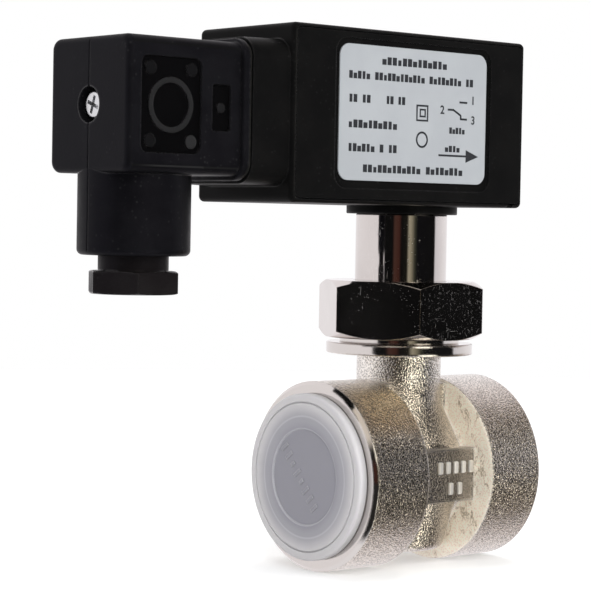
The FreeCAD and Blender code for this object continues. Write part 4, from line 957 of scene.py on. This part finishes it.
def addPadMarks(settings):
    # two rows of plain raised bars on the tee's pad
    bar = roundedBar("padBar", settings["size"], settings["rounding"])
    parts = []
    for count, first, last, z in settings["rows"]:
        for i in range(count):
            x = first + (last - first) * i / (count - 1)
            parts.append(copyTo(bar, moved(x, settings["face"], z)))
    bpy.data.objects.remove(bar)
    return joinPieces("padMarks", parts, rubbedNickel, "tee")


portThread = {
    "radius": 15.12, "crest": 0.17, "pitch": 2.309, "halfWidth": 0.42,      # its half width in pitches
    "turns": 5, "start": 1.0, "steps": 72, "smoothAngle": 40.0,
}


def addPortThread(name, side, settings):
    # one turn of a small section, swept round the bore by a screw modifier
    deselect()
    bpy.ops.mesh.primitive_circle_add(vertices=4, radius=1.0)
    editAll()
    half = settings["pitch"] * settings["halfWidth"]
    bpy.ops.transform.resize(value=(half * mm, settings["crest"] * mm, 1.0))
    bpy.ops.transform.translate(value=(0, settings["radius"] * mm, 0))
    thread = endEdit(name)
    screw = thread.modifiers.new("sweep", "SCREW")
    screw.axis = "X"
    screw.steps = settings["steps"]
    screw.render_steps = settings["steps"]
    screw.screw_offset = settings["pitch"] * mm
    screw.iterations = settings["turns"]
    bpy.ops.object.modifier_apply(modifier="sweep")
    bpy.ops.object.mode_set(mode="EDIT")
    bpy.ops.mesh.select_all(action="DESELECT")
    bpy.ops.mesh.select_non_manifold(extend=False, use_boundary=True)
    bpy.ops.mesh.fill()
    faceOutwards()
    endEdit(name)
    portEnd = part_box("tee_body")[1].x / mm
    high = max(vertex.co.x for vertex in thread.data.vertices)
    thread.data.transform(Matrix.Translation(((portEnd - settings["start"]) * mm - high, 0, 0)))
    if side < 0:        # turned round, so that it stays a right-hand thread
        thread.data.transform(Matrix.Rotation(math.pi, 4, "Z"))
    thread.data.materials.append(finishes["nickel_polished"])
    bpy.ops.object.shade_smooth_by_angle(angle=math.radians(settings["smoothAngle"]))
    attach(thread, "tee")
    return thread


# Copies of the pieces that bend as the paddle swings, left as they are: where in mm each starts to follow the
# lever, and follows it fully
bendingPieces = {
    "bellows": {"name": "bellowsWall", "start": (0.0, 0.0, 46.5), "end": (0.0, 0.0, 38.8)},
    "return_spring": {"name": "springWire", "start": (-10.2, 0.0, 87.4), "end": (-3.3, 0.0, 87.4)},
}


def addBendingPiece(node, settings):
    # the same shape as the solid, copied in its place, with the solid hidden
    piece = bpy.data.objects.new(settings["name"], nodes[node].data.copy())
    piece.data.name = settings["name"]
    scene.collection.objects.link(piece)
    piece.matrix_world = nodes[node].matrix_world
    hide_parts(node)
    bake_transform(piece)
    return piece


for bendingNode, bendingSettings in bendingPieces.items():
    addBendingPiece(bendingNode, bendingSettings)
addLabelPrint(labelPrint)
addCapPips(capPips)
addPadMarks(padMarks)
addPortThread("inletThread", -1, portThread)
addPortThread("outletThread", 1, portThread)


# Studio: a pale floor, a plain white surround with the dark room behind the camera, three soft lamps
studio = {
    "floorRadius": 0.60, "floorSides": 96, "floorColour": 0.80, "floorFill": 0.30,
    "surround": 0.62,                      # strength for matt surfaces
    "roofEdge": (0.925, 0.965), "tableEdge": (-0.78, -0.88),     # sines where the dark room ends
    "roofColour": (1.0, 0.98, 1.0),
    # azimuth in degrees and colour, once round at eye level, as bright metal sees it
    "round": [
        (-180.0, (0.95, 0.92, 0.93)), (-176.5, (0.95, 0.92, 0.93)), (-174.5, (0.006, 0.006, 0.006)),
        (-154.0, (0.005, 0.005, 0.005)), (-149.0, (0.075, 0.035, 0.026)), (-138.0, (0.060, 0.022, 0.016)),
        (-133.0, (0.006, 0.005, 0.005)), (-118.0, (0.012, 0.011, 0.008)), (-113.0, (0.42, 0.38, 0.28)),
        (-107.0, (0.30, 0.27, 0.19)), (-99.0, (0.05, 0.05, 0.035)), (-92.0, (0.006, 0.006, 0.007)),
        (-40.0, (0.006, 0.006, 0.006)), (-37.0, (0.82, 0.80, 0.83)), (0.0, (1.0, 0.98, 1.0)),
        (180.0, (0.95, 0.92, 0.93)),
    ],
    # the same above and below eye level, where the white side wall starts further round
    "roundHigh": [
        (-180.0, (0.95, 0.92, 0.93)), (-176.5, (0.95, 0.92, 0.93)), (-170.0, (0.02, 0.02, 0.02)),
        (-110.0, (0.03, 0.028, 0.025)), (-27.0, (0.03, 0.03, 0.03)), (-8.0, (0.42, 0.34, 0.25)),
        (6.0, (0.86, 0.80, 0.82)), (40.0, (1.0, 0.96, 0.98)), (180.0, (0.95, 0.92, 0.93)),
    ],
    "levelLow": (-0.095, -0.067), "levelHigh": (0.17, 0.31),      # sines where one gives way to the other
    # soft lights seen in the metal: azimuth and height in degrees, cosines of the edge, colour
    "softboxes": [
        (-94.0, 27.0, (0.955, 0.98), (3.6, 3.4, 2.9)), (-84.0, -26.0, (0.955, 0.98), (3.6, 3.4, 2.9)),
        (-160.0, 54.0, (0.82, 0.95), (0.80, 0.73, 0.64)),
    ],
}


def addFloor(settings):
    low = cadBox[0][2]
    deselect()
    bpy.ops.mesh.primitive_circle_add(vertices=settings["floorSides"], radius=settings["floorRadius"],
                                      fill_type="NGON", location=(0, 0, low))
    floor = bpy.context.object
    floor.name = "studioFloor"
    floor.visible_glossy = False
    material, tree, _ = newMaterial("paleFloor")
    tree.nodes.clear()
    matt = addNode(tree, "ShaderNodeBsdfDiffuse")
    feedAll(tree, matt, Color=(settings["floorColour"],) * 3)
    fill = addNode(tree, "ShaderNodeEmission")
    path = addNode(tree, "ShaderNodeLightPath")
    shown = either(tree, path.outputs["Is Camera Ray"], path.outputs["Is Transmission Ray"])
    feedAll(tree, fill, Strength=times(tree, shown, settings["floorFill"]))
    both = addNode(tree, "ShaderNodeAddShader")
    feed(tree, both.inputs[0], matt.outputs[0])
    feed(tree, both.inputs[1], fill.outputs[0])
    output = addNode(tree, "ShaderNodeOutputMaterial")
    feedAll(tree, output, Surface=both.outputs[0])
    floor.data.materials.append(material)


def addRamp(tree, turn, stopList):
    ramp = addNode(tree, "ShaderNodeValToRGB")
    feedAll(tree, ramp, Fac=turn)
    stops = ramp.color_ramp.elements
    stops.remove(stops[1])
    for i, (azimuth, colour) in enumerate(stopList):
        stop = stops[0] if i == 0 else stops.new(azimuth / 360 + 0.5)
        stop.position = azimuth / 360 + 0.5
        stop.color = (*colour, 1.0)
    return ramp.outputs["Color"]


def addWorld(settings):
    world = bpy.data.worlds.new("studio")
    scene.world = world
    world.use_nodes = True
    tree = world.node_tree
    tree.nodes.clear()
    direction = addNode(tree, "ShaderNodeTexCoord").outputs["Generated"]
    x, y, z = splitUp(tree, direction)
    turn = mathNode(tree, "MULTIPLY_ADD", mathNode(tree, "ARCTAN2", y, x), 0.5 / math.pi, 0.5)
    level = addRamp(tree, turn, settings["round"])
    off = addRamp(tree, turn, settings["roundHigh"])
    lowest, low = settings["levelLow"]
    high, highest = settings["levelHigh"]
    over = smoothStep(tree, z, high, highest)
    under = smoothStep(tree, z, low, lowest)
    room = mixColours(tree, either(tree, over, under), level, off)
    above = smoothStep(tree, z, *settings["roofEdge"])
    below = smoothStep(tree, z, *settings["tableEdge"])
    seen = mixColours(tree, either(tree, above, below), room, settings["roofColour"])
    for azimuth, rise, edge, softColour in settings["softboxes"]:
        turned = math.radians(azimuth)
        raised = math.radians(rise)
        aim = vectorMath(tree, "DOT_PRODUCT", direction, (
            math.cos(turned) * math.cos(raised), math.sin(turned) * math.cos(raised), math.sin(raised)))
        seen = mixColours(tree, smoothStep(tree, aim, *edge), seen, softColour)
    path = addNode(tree, "ShaderNodeLightPath")
    mirrored = either(tree, path.outputs["Is Glossy Ray"], path.outputs["Is Transmission Ray"])
    matt = mixColours(tree, mirrored, (settings["surround"],) * 3, seen)
    colour = mixColours(tree, path.outputs["Is Camera Ray"], matt, (1.0, 1.0, 1.0))
    background = addNode(tree, "ShaderNodeBackground")
    feedAll(tree, background, Color=colour)
    output = addNode(tree, "ShaderNodeOutputWorld")
    feedAll(tree, output, Surface=background.outputs[0])


lampAim = Vector((-0.03, 0.0, 0.04))
lamps = [
    {"name": "frontLamp", "place": (-0.55, -0.75, 0.55), "size": 0.55, "power": 5.0},
    {"name": "sideLamp", "place": (0.60, -0.85, 0.30), "size": 0.55, "power": 6.0},
    {"name": "topLamp", "place": (0.10, 0.10, 0.95), "size": 0.80, "power": 5.0},
]


def addLamp(settings):
    data = bpy.data.lights.new(settings["name"], "AREA")
    data.shape = "SQUARE"
    data.size = settings["size"]
    data.energy = settings["power"]
    lamp = bpy.data.objects.new(settings["name"], data)
    scene.collection.objects.link(lamp)
    place = Vector(settings["place"])
    turn = (lampAim - place).to_track_quat("-Z", "Y").to_matrix().to_4x4()
    lamp.matrix_world = Matrix.Translation(place) @ turn
    lamp.visible_glossy = False
    lamp.visible_camera = False


addWorld(studio)
addFloor(studio)
for lampSettings in lamps:
    addLamp(lampSettings)
print("studio ready")
